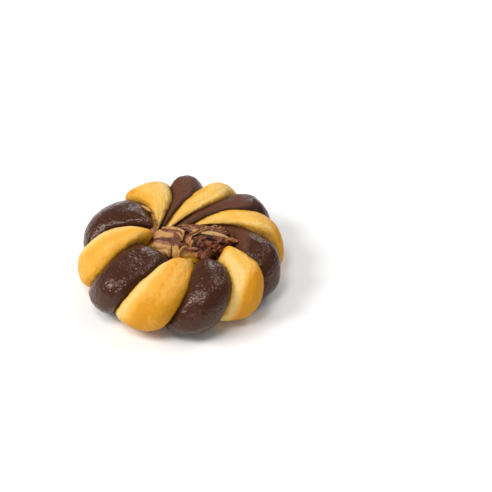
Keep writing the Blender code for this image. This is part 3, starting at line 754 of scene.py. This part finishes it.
# Laid on in this order, each over the ones before it
STROKES = {
    "smear_under_hook": Stroke(((-0.0052, 0.0126), (-0.0024, 0.0123), (-0.0003, 0.0121), (0.0009, 0.0109)),
        0.0005, Tone.BROWN, -0.00006),
    "smear_brown": Stroke(((-0.0036, 0.0121), (-0.0018, 0.0117), (0.0000, 0.0113)), 0.00034, Tone.RUST, -0.00004),
    "smear_middle": Stroke(((-0.0013, 0.0113), (-0.0001, 0.0101), (0.0013, 0.0089)), 0.00095, Tone.BROWN, -0.00006),
    "smear_tail": Stroke(((-0.0020, 0.0093), (-0.0001, 0.0089), (0.0017, 0.0083)), 0.0004, Tone.BROWN),
    "tan_streak": Stroke(((-0.0009, 0.0119), (0.0005, 0.0109), (0.0008, 0.0100)), 0.0002, Tone.TAN, 0.00022),
    "back_shadow": Stroke(((-0.0059, 0.0127), (-0.0049, 0.0132), (-0.0032, 0.0136), (-0.0009, 0.0135)),
        0.0003, Tone.RUST, -0.0001),
    "dark_field": Stroke(((-0.0026, 0.0140), (-0.0001, 0.0138), (0.0017, 0.0128), (0.0024, 0.0116)),
        0.0008, Tone.DARK, -0.00016),
    "dark_tail": Stroke(((0.0020, 0.0123), (0.0020, 0.0110), (0.0013, 0.0099)), 0.00055, Tone.DARK, -0.00016),
    "rust_back": Stroke(((-0.0007, 0.0141), (0.0015, 0.0140), (0.0032, 0.0134), (0.0054, 0.0125)),
        0.0004, Tone.RUST, 0.00022),
    "rust_thread": Stroke(((0.0005, 0.0136), (0.0023, 0.0132), (0.0038, 0.0124)), 0.00016, Tone.RUST, 0.0001),
    "dark_thread": Stroke(((-0.0001, 0.0138), (0.0019, 0.0136), (0.0034, 0.0129)), 0.00013, Tone.DARK, -0.00006),
    "rust_front": Stroke(((0.0052, 0.0124), (0.0038, 0.0119), (0.0027, 0.0110), (0.0017, 0.0097)),
        0.00044, Tone.RUST, 0.00022),
    "wedge": Stroke(((0.0034, 0.0125), (0.0044, 0.0124), (0.0054, 0.0125)), 0.00026, Tone.TAN, 0.00012),
    "hook": Stroke(((-0.0053, 0.0131), (-0.0030, 0.0130), (-0.0009, 0.0130), (0.0007, 0.0125), (0.0013, 0.0119)),
        0.00022, Tone.TAN, 0.00042, pale=0.3),
    "hook_end": Stroke(((0.0013, 0.0119), (0.0012, 0.0115), (0.0009, 0.0114)), 0.00018, Tone.TAN, 0.0003, pale=0.3),
    "back_edge": Stroke(((-0.0054, 0.0133), (-0.0040, 0.0139), (-0.0023, 0.0143)),
        0.00022, Tone.TAN, 0.00026, pale=0.2),
    "sliver_lip": Stroke(((0.0031, 0.0103), (0.0038, 0.0110), (0.0050, 0.0116), (0.0069, 0.0125), (0.0083, 0.0129)),
        0.0002, Tone.TAN, 0.00032, pale=0.3),
    "roof_shadow": Stroke(((0.0036, 0.0097), (0.0044, 0.0108), (0.0058, 0.0112), (0.0079, 0.0107), (0.0100, 0.0099)),
        0.00042, Tone.DARK, shade=1.0),
    "cave_top": Stroke(((0.0064, 0.0093), (0.0078, 0.0098), (0.0094, 0.0097), (0.0108, 0.0092)),
        0.0004, Tone.DARK, -0.0009, shade=1.0),
    "cave_low": Stroke(((0.0052, 0.0077), (0.0061, 0.0071), (0.0070, 0.0068)),
        0.0004, Tone.DARK, -0.0009, shade=1.0),
    "cave_right": Stroke(((0.0112, 0.0086), (0.0124, 0.0081), (0.0134, 0.0085)),
        0.00032, Tone.DARK, -0.0007, shade=0.9),
    "ridge_a": Stroke(((0.0103, 0.0107), (0.0114, 0.0099), (0.0119, 0.0089)), 0.00015, Tone.BROWN, 0.00018, pink_and_highlight=0.6),
    "ridge_b": Stroke(((0.0114, 0.0108), (0.0125, 0.0100), (0.0133, 0.0090)), 0.00015, Tone.BROWN, 0.0002, pink_and_highlight=0.6),
    "ridge_c": Stroke(((0.0125, 0.0106), (0.0137, 0.0100), (0.0144, 0.0089)), 0.00014, Tone.BROWN, 0.00018, pink_and_highlight=0.6),
    "bubble_a": Stroke(((0.0069, 0.0110), (0.0077, 0.0108), (0.0087, 0.0109)), 0.00013, Tone.RUST, 0.00014, pink_and_highlight=0.5),
    "bubble_b": Stroke(((0.0091, 0.0106), (0.0098, 0.0104), (0.0106, 0.0107)), 0.00013, Tone.RUST, 0.00014, pink_and_highlight=0.5),
    # Raised brown lumps whose pink paints the glints of their gloss
    "glint_lump_a": Stroke(((0.0050, 0.0083), (0.0058, 0.0089), (0.0069, 0.0087)), 0.00022, Tone.BROWN, 0.0002, pink_and_highlight=0.5),
    "glint_lump_b": Stroke(((0.0073, 0.0081), (0.0085, 0.0086), (0.0096, 0.0081)), 0.00022, Tone.BROWN, 0.0002, pink_and_highlight=0.4),
    "glint_lump_c": Stroke(((0.0089, 0.0089), (0.0100, 0.0092), (0.0110, 0.0085)), 0.00022, Tone.BROWN, 0.0002, pink_and_highlight=0.4),
    "crescent_glow": Stroke(((-0.0074, 0.0090), (-0.0059, 0.0093), (-0.0036, 0.0087), (-0.0020, 0.0081)),
        0.0003, Tone.BROWN, pink_and_highlight=1.0),
    "crescent_sheen": Stroke(((-0.0069, 0.0101), (-0.0049, 0.0103), (-0.0026, 0.0100), (-0.0009, 0.0092)),
        0.0002, Tone.DARK, pink_and_highlight=0.45),
    "box_edge": Stroke(((-0.0022, 0.0081), (-0.0022, 0.0064), (-0.0022, 0.0049)), 0.0001, Tone.BROWN, -0.0002),
}


@dataclass
class Knot:
    """The torn, marbled knot: folds of dough fused over the eye, on the stem that runs down to the foot."""

    form: CookieForm
    voxel: float = 0.00014
    soften_share: float = 0.5
    soften_rounds: int = 5
    fold_steps: int = 48
    fold_sides: int = 28
    stem_sides: int = 48
    dome_half_size: Pair = (0.0112, 0.0064)
    dome_edge_height: float = 0.0118
    dome_height: float = 0.0138
    dome_steps: int = 6
    gap: float = 0.0003
    line_steps: int = 24
    smear_reach: float = 0.00030
    smears: Layer = Layer(0.0011, 0.00009, 14.0, 3)
    cocoa_sink: float = 0.00016
    crags: Layer = Layer(0.0023, 1.0, 9.0, 2)
    crumbs: Layer = Layer(0.0008, 0.35, 12.0)
    crag_level: float = 0.2
    crag_depth: float = 0.0017
    fine: Layer = Layer(0.0006, 0.00008, 5.0, 2)
    shaded_crags: Pair = (0.06, -0.12)
    relief_heights: Pair = (0.0100, 0.0115)
    front_deg: float = 44.0
    stroke_strays: tuple[Layer, ...] = (Layer(0.0016, 0.00020, 3.0), Layer(0.0006, 0.00012, 7.0, 2))
    stroke_edge: Pair = (0.7, 1.25)
    stroke_foot: float = 1.2

    def fold_mesh(self, name: str, fold: Fold) -> bpy.types.Object:
        """Builds one fold as a closed tube with an oval section."""
        points = fold.skin(self.fold_steps, self.fold_sides)
        return mesh_object(name, points.reshape(-1, 3), tube_faces(self.fold_steps, self.fold_sides), {})

    def stem_mesh(self) -> bpy.types.Object:
        """Builds the stem with its foot, and the low dome over the eye.

        Returns:
            The stem as one closed body.
        """
        form = self.form
        levels = [(form.foot_radius, form.foot_radius, 0.0, 0.0), (*form.throat_half_size, 1.0, form.throat_height)]
        for j in range(self.dome_steps):
            turn = math.pi / 2 * j / self.dome_steps
            height = mix(self.dome_edge_height, self.dome_height, math.sin(turn))
            shrink = math.cos(turn)
            levels.append((self.dome_half_size[0] * shrink, self.dome_half_size[1] * shrink, 1.0, height))
        turns = 2 * np.pi * np.arange(self.stem_sides) / self.stem_sides
        rows = []
        for half_x, half_y, centre, height in levels:
            x = form.eye_centre[0] * centre + (half_x - self.gap) * np.cos(turns)
            y = form.eye_centre[1] * centre + (half_y - self.gap) * np.sin(turns)
            rows.append(np.stack([x, y, np.full_like(x, height)], axis=1))
        return mesh_object("stem", np.array(rows).reshape(-1, 3), tube_faces(len(levels) - 1, self.stem_sides), {})

    def fuse(self, knot: bpy.types.Object) -> None:
        """Turns the joined shells into one skin of even squares, with its inner corners rounded a little.

        Args:
            knot: The joined shells.
        """
        remesh = knot.modifiers.new("fuse", "REMESH")
        remesh.mode = "VOXEL"
        remesh.voxel_size = self.voxel
        soften = knot.modifiers.new("soften", "SMOOTH")
        soften.factor = self.soften_share
        soften.iterations = self.soften_rounds
        bpy.context.view_layer.update()
        made = bpy.data.meshes.new_from_object(knot.evaluated_get(bpy.context.evaluated_depsgraph_get()))
        knot.modifiers.clear()
        knot.data = made

    def build(self) -> bpy.types.Object:
        """Fuses the folds and the stem into one body, and roughens it where it is torn.

        Returns:
            The knot.
        """
        parts = [self.stem_mesh()] + [self.fold_mesh(name, fold) for name, fold in FOLDS.items()]
        knot = join(parts, "knot_dough")
        self.fuse(knot)
        points, normals = mesh_values(knot), mesh_values(knot, "normal")
        marks, relief = self.marks(points)
        lumps = np.abs(self.crags.relief(points)) - self.crag_level + np.abs(self.crumbs.relief(points))
        smeared = self.smears.relief(points) - marks["cocoa"] * self.cocoa_sink
        relief = relief + mix(smeared, lumps * self.crag_depth + self.fine.relief(points), marks["torn"])
        marks["shade"] = np.maximum(marks["shade"], marks["torn"] * smooth(lumps, *self.shaded_crags))
        points = points + normals * (relief * smooth(points[:, 2], *self.relief_heights))[:, None]
        points[:, 2] = np.maximum(points[:, 2], 0.0)
        set_points(knot, points)
        write_marks(knot.data, marks)
        knot.data.shade_smooth()
        return knot

    def marks(self, points: Array) -> tuple[dict[str, Array], Array]:
        """Returns what the finish reads at each point, and how far the strokes raise it.

        Args:
            points: Points of the knot's skin.

        Returns:
            Values by name (cocoa, torn, pink, pale, gold and shade), and the heights of the strokes. The pink also
            paints highlights, the gold is dark enough to paint the shade of a hollow, and the shade is painted shade.
        """
        marks = {name: np.zeros(len(points)) for name in ("cocoa", "torn", "pink_and_highlight", "pale", "gold", "shade")}
        weights = np.zeros(len(points))
        for fold in FOLDS.values():
            line = fold.line(self.line_steps)
            away = np.linalg.norm(points[:, None, :] - line[None, :, :], axis=2)
            nearest = away.argmin(axis=1)
            reach = (fold.half_width + fold.half_thick) / 2 * fold.size(nearest / self.line_steps)
            weight = np.exp(-(away.min(axis=1) - reach) / self.smear_reach)
            weights += weight
            marks["cocoa"] += weight * fold.tone.value
            for name in ("torn", "pink_and_highlight", "pale", "gold"):
                marks[name] += weight * getattr(fold, name)
        marks = {name: total / weights for name, total in marks.items()}
        turn = math.radians(self.front_deg)
        seen = np.stack([points[:, 0], points[:, 1] * math.sin(turn) + points[:, 2] * math.cos(turn)], axis=1)
        for axis in (0, 1):
            seen[:, axis] += sum(layer.relief(points, axis) for layer in self.stroke_strays)
        relief = np.zeros(len(points))
        for stroke in STROKES.values():
            away = stroke.distance(seen)
            share = 1 - smooth(away, *self.stroke_edge)
            relief += stroke.relief * np.clip(1 - (away / self.stroke_foot) ** 2, 0.0, 1.0) ** 1.5
            for name, value in (("cocoa", stroke.tone.value), ("gold", 0.0)):
                marks[name] = mix(marks[name], value, share)
            for name in ("pink_and_highlight", "pale", "shade"):
                marks[name] = mix(marks[name], getattr(stroke, name), share)
        return marks, relief


def tube(line: Array, width: Array, thick: Array) -> Array:
    """Returns the points of a tube with an oval section.

    Args:
        line: Points along its middle.
        width: Its half width at every point of the line, one column for each of its sides.
        thick: Its half thickness there.

    Returns:
        The points, one ring for each point of the line.
    """
    along = np.gradient(line, axis=0)
    along /= np.linalg.norm(along, axis=1)[:, None]
    side = np.cross(along, [0.0, 0.0, 1.0])
    side /= np.linalg.norm(side, axis=1)[:, None]
    rise = np.cross(side, along)
    turn = 2 * np.pi * np.arange(width.shape[1]) / width.shape[1]
    across, upwards = (width * np.cos(turn))[:, :, None], (thick * np.sin(turn))[:, :, None]
    return line[:, None, :] + side[:, None, :] * across + rise[:, None, :] * upwards


def tube_faces(steps: int, sides: int) -> Faces:
    """Lists the faces of a tube with closed ends, whose points come in rings.

    Args:
        steps: How many steps it has along its line.
        sides: How many sides it has.

    Returns:
        The numbers of the points round each face.
    """
    made: Faces = [tuple(reversed(range(sides)))]
    for i in range(steps):
        for k in range(sides):
            right = (k + 1) % sides
            made.append((i * sides + k, i * sides + right, (i + 1) * sides + right, (i + 1) * sides + k))
    made.append(tuple(range(steps * sides, (steps + 1) * sides)))
    return made


def join(items: list[bpy.types.Object], name: str) -> bpy.types.Object:
    """Joins mesh objects into one.

    Args:
        items: The objects, of which the first takes in the others.
        name: The name of the joined object.

    Returns:
        The joined object.
    """
    with bpy.context.temp_override(active_object=items[0], selected_editable_objects=items):
        bpy.ops.object.join()
    items[0].name = name
    return items[0]


def mesh_values(item: bpy.types.Object, name: str = "co") -> Array:
    """Reads three values at every point of an object's mesh.

    Args:
        item: The object.
        name: co for the places of the points, or normal for the way they face.

    Returns:
        One row for each point.
    """
    values = np.zeros(len(item.data.vertices) * 3)
    item.data.vertices.foreach_get(name, values)
    return values.reshape(-1, 3)


def set_points(item: bpy.types.Object, points: Array) -> None:
    """Moves the points of an object's mesh."""
    item.data.vertices.foreach_set("co", points.ravel())
    item.data.update()


@dataclass(frozen=True)
class Curl:
    """A thin curl of torn dough that lies on a petal, as part of a ring."""

    x: float
    y: float
    radius: float
    thick: float
    start_deg: float
    turn_deg: float


@dataclass
class Scraps:
    """The small scraps of torn dough round the knot: bubbly curls behind it, and thin films beside it."""

    ground: list[bpy.types.Object]
    steps: int = 22
    sides: int = 8
    ground_reach: float = 0.0006
    clearance: float = 0.00012
    wave_height: float = 0.00018
    least_rise: float = 0.2
    radius_wobble: float = 0.2
    thick_wobble: float = 0.3
    curls: tuple[Curl, ...] = (
        Curl(0.0098, 0.0052, 0.00055, 0.00013, 20, 290),
        Curl(0.0110, 0.0053, 0.00060, 0.00013, 100, 300),
        Curl(0.0121, 0.0044, 0.00055, 0.00014, -40, 270),
        Curl(0.0127, 0.0034, 0.00050, 0.00013, 160, 250),
        Curl(0.0076, 0.0040, 0.00045, 0.00012, 0, 200),
        Curl(0.0067, 0.0038, 0.00035, 0.00012, 60, 240),
        Curl(0.0089, 0.0033, 0.00045, 0.00012, 200, 220),
        Curl(0.0062, 0.0044, 0.00030, 0.00010, 30, 260),
    )

    def curl_skin(self, curl: Curl, number: int, height: float) -> Array:
        """Lays out the skin of an uneven curl.

        Args:
            curl: The curl's sizes.
            number: Its number, which sets its unevenness.
            height: The height it lies at.

        Returns:
            The points, in rings along the curl.
        """
        way = np.linspace(0, 1, self.steps + 1)
        angle = np.radians(curl.start_deg + curl.turn_deg * way)
        radius = curl.radius * (1 + self.radius_wobble * np.sin(3 * angle + number))
        rise = self.clearance + self.wave_height * np.sin(2 * angle + number)
        line = np.stack([curl.x + radius * np.cos(angle), curl.y + radius * np.sin(angle), height + rise], axis=1)
        taper = mix(0.4, 1.0, np.sin(np.pi * way).clip(0.0) ** 0.5)
        size = taper * (1 + self.thick_wobble * np.sin(9 * way + number))
        thick = np.repeat(curl.thick * size[:, None], self.sides, axis=1)
        return tube(line, thick, thick)

    def build(self) -> bpy.types.Object:
        """Builds the scraps, each curl on the ground under it.

        Returns:
            The scraps as one piece.
        """
        places = np.concatenate([mesh_values(item) for item in self.ground])
        normals = np.concatenate([mesh_values(item, "normal") for item in self.ground])
        places = places[normals[:, 2] > self.least_rise]
        skins = [film.skin(self.steps, self.sides) for film in FILMS]
        for number, curl in enumerate(self.curls):
            near = np.linalg.norm(places[:, :2] - (curl.x, curl.y), axis=1) < self.ground_reach
            skins.append(self.curl_skin(curl, number, places[near][:, 2].max()))
        points, faces = [], []
        for skin in skins:
            first = sum(len(part) for part in points)
            points.append(skin.reshape(-1, 3))
            faces += [tuple(first + corner for corner in face) for face in tube_faces(self.steps, self.sides)]
        return mesh_object("dough_scraps", np.concatenate(points), faces, {})


class Socket:
    """A value in a material's node tree, on which Python's operators add Math nodes."""

    def __init__(self, graph: "Graph", output: bpy.types.NodeSocket) -> None:
        """Keeps the output and the tree that it is in."""
        self.graph = graph
        self.output = output

    def _math(self, operation: str, *values: Any) -> "Socket":
        """Returns the result of a Math node."""
        return self.graph.node("ShaderNodeMath", {"operation": operation}, dict(enumerate(values)))

    def __add__(self, other: Any) -> "Socket":
        """Returns self + other."""
        return self._math("ADD", self, other)

    __radd__ = __add__

    def __sub__(self, other: Any) -> "Socket":
        """Returns self - other."""
        return self._math("SUBTRACT", self, other)

    def __rsub__(self, other: Any) -> "Socket":
        """Returns other - self."""
        return self._math("SUBTRACT", other, self)

    def __mul__(self, other: Any) -> "Socket":
        """Returns self * other."""
        return self._math("MULTIPLY", self, other)

    __rmul__ = __mul__

    def step(self, low: float, high: float) -> "Socket":
        """Returns 0 where the value is at low and 1 at high, with a soft step between them."""
        settings = {"interpolation_type": "SMOOTHSTEP", "clamp": True}
        return self.graph.node("ShaderNodeMapRange", settings, {"Value": self, "From Min": low, "From Max": high})


class Graph:
    """The node tree of one material, and the one way in which nodes are added to it."""

    def __init__(self, name: str) -> None:
        """Makes the material with its Principled BSDF.

        Args:
            name: The material's name.
        """
        self.material = bpy.data.materials.new(name)
        self.material.use_nodes = True
        self.tree = self.material.node_tree
        self.shader = self.tree.nodes["Principled BSDF"]

    def connect(self, socket: bpy.types.NodeSocket, value: Any) -> None:
        """Sets an input to a value, or links it to a Socket.

        Args:
            socket: The input.
            value: A number, a colour, a vector or a Socket.
        """
        if isinstance(value, Socket):
            self.tree.links.new(value.output, socket)
        elif isinstance(value, tuple) and len(value) == 3 and socket.type == "RGBA":
            socket.default_value = (*value, 1.0)
        else:
            socket.default_value = value

    def node(self, kind: str, settings: dict[str, Any], values: dict[Any, Any], output: int = 0) -> Socket:
        """Adds a node.

        Args:
            kind: The node's type.
            settings: Its own settings, which are set first.
            values: Values or Sockets for its inputs, by name or number.
            output: The number of the output that is wanted.

        Returns:
            The wanted output.
        """
        made = self.tree.nodes.new(kind)
        for name, setting in settings.items():
            setattr(made, name, setting)
        for name, value in values.items():
            self.connect(made.inputs[name], value)
        return Socket(self, made.outputs[output])

    def places(self) -> Socket:
        """Returns the place on the piece, in metres."""
        return self.node("ShaderNodeTexCoord", {}, {}, 3)

    def mark(self, name: str) -> Socket:
        """Returns a value that the mesh holds at its points."""
        return self.node("ShaderNodeAttribute", {"attribute_name": name}, {}, 2)

    def noise(self, size: float, detail: float = 2.0, rough: float = 0.5) -> Socket:
        """Returns soft noise from 0 to 1 with lumps of the given size."""
        values = {"Vector": self.places(), "Scale": 1 / size, "Detail": detail, "Roughness": rough}
        return self.node("ShaderNodeTexNoise", {}, values)

    def sway(self, size: float, reach: float, detail: float = 2.0, rough: float = 0.5, middle: float = 0.5) -> Socket:
        """Returns soft noise that goes either side of 0, half as far as reach."""
        return (self.noise(size, detail, rough) - middle) * reach

    def layers(self, base: Colour, *tints: tuple[Any, Colour]) -> Any:
        """Lays colours over a base colour in turn.

        Args:
            base: The colour underneath.
            tints: Pairs of a share, which may be a Socket, and the colour it lays on.

        Returns:
            The colour on top.
        """
        colour: Any = base
        settings = {"data_type": "RGBA", "clamp_factor": True}
        for share, tint in tints:
            colour = self.node("ShaderNodeMix", settings, {0: share, 6: colour, 7: tint}, 2)
        return colour

    def bump(self, height: Any, depth: float, strength: float = 1.0) -> Socket:
        """Returns normals bent by a height, which is given as a share of a depth in metres."""
        return self.node("ShaderNodeBump", {}, {"Height": height, "Strength": strength, "Distance": depth})

    def finish(self, **values: Any) -> bpy.types.Material:
        """Sets the inputs of the Principled BSDF.

        Args:
            values: Values or Sockets by the inputs' names, with underscores for spaces.

        Returns:
            The material.
        """
        for name, value in values.items():
            self.connect(self.shader.inputs[name.replace("_", " ")], value)
        return self.material


@dataclass(frozen=True)
class VanillaFinish:
    """Baked vanilla dough: pale gold by the creases, darkened along them by painted shade, toasted on the ridges,
    matte and finely pitted.
    """

    pale: Colour = (0.78, 0.53, 0.175)
    gold: Colour = (0.78, 0.46, 0.095)
    toasted: Colour = (0.78, 0.38, 0.045)
    deep: Colour = (0.66, 0.28, 0.006)
    # crease: painted shade, a deeper gold laid along the creases
    crease: Colour = (0.70, 0.36, 0.020)
    stain: Colour = (0.30, 0.11, 0.025)
    mottle_size: float = 0.0011
    patch_size: float = 0.0034
    speck_size: float = 0.0006
    pit_size: float = 0.0008
    pit_depth: float = 0.00030
    roughness: float = 0.50
    glow_reach: Colour = (0.0012, 0.0007, 0.0003)

    def material(self) -> bpy.types.Material:
        """Builds the material.

        Returns:
            The material.
        """
        graph = Graph("vanilla_dough")
        toast = graph.mark("toast") + graph.sway(self.mottle_size, 1.1, 4.0, 0.6) + graph.sway(self.patch_size, 0.9)
        edge = graph.mark("edge")
        colour = graph.layers(
            self.pale,
            (toast.step(-0.35, 0.15), self.gold),
            (toast.step(0.1, 0.75), self.toasted),
            (toast.step(0.7, 1.4), self.deep),
            (graph.noise(self.speck_size).step(0.66, 0.78) * 0.45, self.toasted),
            # Painted shade along the creases, then a real cocoa stain at their very edge
            (edge.step(0.05, 0.9) * 0.8, self.crease),
            (edge.step(0.85, 1.0) * 0.35, self.stain),
        )
        return graph.finish(
            Base_Color=colour, Roughness=self.roughness, Specular_IOR_Level=0.22,
            Normal=graph.bump(graph.noise(self.pit_size, 3.0, 0.65), self.pit_depth),
            Subsurface_Weight=0.10, Subsurface_Radius=self.glow_reach, Subsurface_Scale=1.0,
        )


@dataclass(frozen=True)
class CocoaFinish:
    """Baked cocoa dough: dark brown with a soft gloss that its fine grain breaks up, matte where it is torn, darker
    at the creases by painted shade.
    """

    dark: Colour = (0.047, 0.0122, 0.0044)
    matte: Colour = (0.088, 0.0235, 0.0066)
    speck: Colour = (0.22, 0.085, 0.035)
    # crease: painted shade, a darker brown laid along the creases
    crease: Colour = (0.026, 0.0072, 0.0028)
    patch_size: float = 0.0014
    speck_size: float = 0.0005
    gloss_size: float = 0.0007
    grain_size: float = 0.0008
    grain_depth: float = 0.00016
    roughness: float = 0.24
    sheen_tint: Colour = (1.0, 0.78, 0.70)

    def material(self) -> bpy.types.Material:
        """Builds the material.

        Returns:
            The material.
        """
        graph = Graph("cocoa_dough")
        dull = (graph.mark("matte") + graph.sway(self.patch_size, 0.6, 3.0)).step(0.1, 0.9)
        colour = graph.layers(
            self.dark,
            (dull, self.matte),
            (graph.noise(self.speck_size).step(0.62, 0.76) * 0.40, self.speck),
            # Painted shade along the creases
            (graph.mark("edge").step(0.1, 0.9) * 0.8, self.crease),
        )
        return graph.finish(
            Base_Color=colour, Roughness=dull * 0.40 + self.roughness + graph.sway(self.gloss_size, 0.25),
            Specular_IOR_Level=0.46, Specular_Tint=self.sheen_tint,
            Normal=graph.bump(graph.noise(self.grain_size, 2.0, 0.55), self.grain_depth),
        )


@dataclass(frozen=True)
class MarbledFinish:
    """Both doughs smeared into each other: tan, orange-brown and dark streaks, with painted highlights and shade."""

    tan: Colour = (0.49, 0.26, 0.082)
    rust: Colour = (0.34, 0.125, 0.038)
    brown: Colour = (0.150, 0.041, 0.0135)
    dark: Colour = (0.072, 0.0190, 0.0080)
    # pink: a pinkish tan, which also paints the highlights on glossy lumps and folds
    pink_and_highlight: Colour = (0.34, 0.150, 0.090)
    pale: Colour = (0.47, 0.29, 0.105)
    # gold: a deep gold, dark enough to paint the shade in the hollow of the ramp
    gold: Colour = (0.34, 0.155, 0.009)
    shade: Colour = (0.040, 0.013, 0.007)
    smear_size: float = 0.0013
    pink_and_highlight_size: float = 0.0011
    grain_size: float = 0.0005
    grain_depth: float = 0.00018
    roughness: float = 0.30

    def material(self) -> bpy.types.Material:
        """Builds the material.

        Returns:
            The material.
        """
        graph = Graph("marbled_dough")
        cocoa = graph.mark("cocoa") + graph.sway(self.smear_size, 1.25, 5.0, 0.65, middle=0.48)
        pink_and_highlight = graph.mark("pink_and_highlight") + graph.sway(self.pink_and_highlight_size, 0.8, 3.0)
        shade = graph.mark("shade")
        colour = graph.layers(
            self.tan,
            (cocoa.step(0.14, 0.38), self.rust),
            (cocoa.step(0.40, 0.62), self.brown),
            (cocoa.step(0.68, 0.95), self.dark),
            # The gold lays painted shade where it is strong, and a golden tint where it is weak
            (graph.mark("gold") * (1 - cocoa.step(0.2, 0.5)), self.gold),
            # The pink lays pinkish tan and painted highlights
            (pink_and_highlight.step(0.25, 1.0) * 0.8, self.pink_and_highlight),
            (graph.mark("pale").step(0.2, 0.9), self.pale),
            (shade * 0.85, self.shade),
        )
        return graph.finish(
            Base_Color=colour, Roughness=shade * 0.5 + self.roughness, Specular_IOR_Level=0.28,
            Normal=graph.bump(graph.noise(self.grain_size, 4.0, 0.6), self.grain_depth, 0.9),
        )


@dataclass(frozen=True)
class CrumbFinish:
    """Dried scraps of dough, tan with browner places."""

    tan: Colour = (0.57, 0.285, 0.095)
    brown: Colour = (0.24, 0.095, 0.042)
    patch_size: float = 0.0009
    grain_size: float = 0.0005
    grain_depth: float = 0.00010
    roughness: float = 0.42

    def material(self) -> bpy.types.Material:
        """Builds the material.

        Returns:
            The material.
        """
        graph = Graph("dry_crumb")
        return graph.finish(
            Base_Color=graph.layers(self.tan, (graph.noise(self.patch_size, 3.0).step(0.44, 0.62), self.brown)),
            Roughness=self.roughness, Specular_IOR_Level=0.3,
            Normal=graph.bump(graph.noise(self.grain_size, 3.0), self.grain_depth),
        )


@dataclass(frozen=True)
class Light:
    """A square soft light that faces the cookie."""

    name: str
    place: Place
    size: float
    power: float
    colour: Colour

    def build(self) -> None:
        """Makes the light."""
        data = bpy.data.lights.new(self.name, "AREA")
        data.shape = "SQUARE"
        data.size = self.size
        data.energy = self.power
        data.color = self.colour
        item = bpy.data.objects.new(self.name, data)
        item.location = self.place
        item.rotation_euler = (-Vector(self.place)).to_track_quat("-Z", "Y").to_euler()
        bpy.context.scene.collection.objects.link(item)


@dataclass(frozen=True)
class Studio:
    """A pale floor, soft lights and a camera at the photograph's viewing angle."""

    elevation_deg: float = 44.0
    distance: float = 0.65
    target: Place = (0.0190, 0.0041, 0.0070)
    pixels_per_metre: float = 3450.0
    image_width: int = 492
    sensor: float = 36.0
    floor_size: float = 3.0
    floor_colour: Colour = (0.92, 0.92, 0.92)
    surroundings: float = 0.29
    lights: tuple[Light, ...] = (
        Light("key", (-0.46, -0.08, 0.46), 0.26, 3.0, (1.0, 0.985, 0.96)),
        Light("top", (-0.12, -0.16, 0.62), 0.18, 1.3, (1.0, 0.99, 0.98)),
        Light("back", (0.10, 0.50, 0.28), 0.22, 0.8, (0.98, 0.99, 1.0)),
        Light("right", (0.34, 0.18, 0.50), 0.15, 0.6, (1.0, 0.99, 0.97)),
        Light("front", (-0.12, -0.58, 0.17), 0.20, 0.30, (1.0, 0.99, 0.97)),
    )

    def camera(self) -> None:
        """Makes the camera, whose focal length gives the photograph's scale at the target."""
        data = bpy.data.cameras.new("camera")
        data.sensor_width = self.sensor
        data.lens = self.sensor * self.pixels_per_metre * self.distance / self.image_width
        data.clip_start = 0.01
        item = bpy.data.objects.new("camera", data)
        turn = math.radians(self.elevation_deg)
        target = Vector(self.target)
        item.location = target + self.distance * Vector((0, -math.cos(turn), math.sin(turn)))
        item.rotation_euler = (target - item.location).to_track_quat("-Z", "Y").to_euler()
        bpy.context.scene.collection.objects.link(item)
        bpy.context.scene.camera = item

    def floor(self) -> None:
        """Makes the pale floor."""
        half = self.floor_size / 2
        corners = np.array([(-half, -half, 0), (half, -half, 0), (half, half, 0), (-half, half, 0)], dtype=float)
        item = mesh_object("floor", corners, [(0, 1, 2, 3)], {})
        item.data.materials.append(Graph("floor").finish(Base_Color=self.floor_colour, Roughness=0.9))

    def build(self) -> None:
        """Makes the floor, the lights, the pale surroundings and the camera."""
        self.camera()
        self.floor()
        for light in self.lights:
            light.build()
        world = bpy.data.worlds.new("surroundings")
        world.use_nodes = True
        background = world.node_tree.nodes["Background"]
        background.inputs["Color"].default_value = (1.0, 1.0, 1.0, 1.0)
        background.inputs["Strength"].default_value = self.surroundings
        bpy.context.scene.world = world
        bpy.context.scene.view_settings.view_transform = "Standard"


@dataclass
class Cookie:
    """The whole cookie: twelve petals, their knot and the scraps of dough on them."""

    form: CookieForm
    skins: list[bpy.types.Object] = field(default_factory=list)

    def dress(self, item: bpy.types.Object, node: str, finish: bpy.types.Material) -> None:
        """Gives a piece its finish, and puts it in the place of its node if it has one.

        Args:
            item: The piece.
            node: The name of its node, or nothing.
            finish: Its material.
        """
        item.data.materials.clear()
        item.data.materials.append(finish)
        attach(item, BODY)
        if node:
            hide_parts(node)
        log.info("%s: %d faces for %s", item.name, len(item.data.polygons), node or "no node")

    def build(self) -> None:
        """Builds and dresses every piece."""
        rings = self.form.rings()
        finishes = {Dough.VANILLA: VanillaFinish().material(), Dough.COCOA: CocoaFinish().material()}
        made = {Dough.VANILLA: 0, Dough.COCOA: 0}
        for number, petal in enumerate(PETALS):
            made[petal.dough] += 1
            node = f"{petal.dough.name.lower()}_petal_{made[petal.dough]}"
            item = PetalSkin(number, f"{node}_skin", rings).build()
            self.dress(item, node, finishes[petal.dough])
            self.skins.append(item)
        knot = Knot(self.form).build()
        self.dress(knot, "knot", MarbledFinish().material())
        self.dress(Scraps(self.skins + [knot]).build(), "", CrumbFinish().material())


def main() -> None:
    """Builds the studio and the cookie, and logs how many faces each piece has."""
    logging.basicConfig(level=logging.INFO, format="%(message)s")
    Studio().build()
    Cookie(CookieForm()).build()


if __name__ == "__main__":
    main()
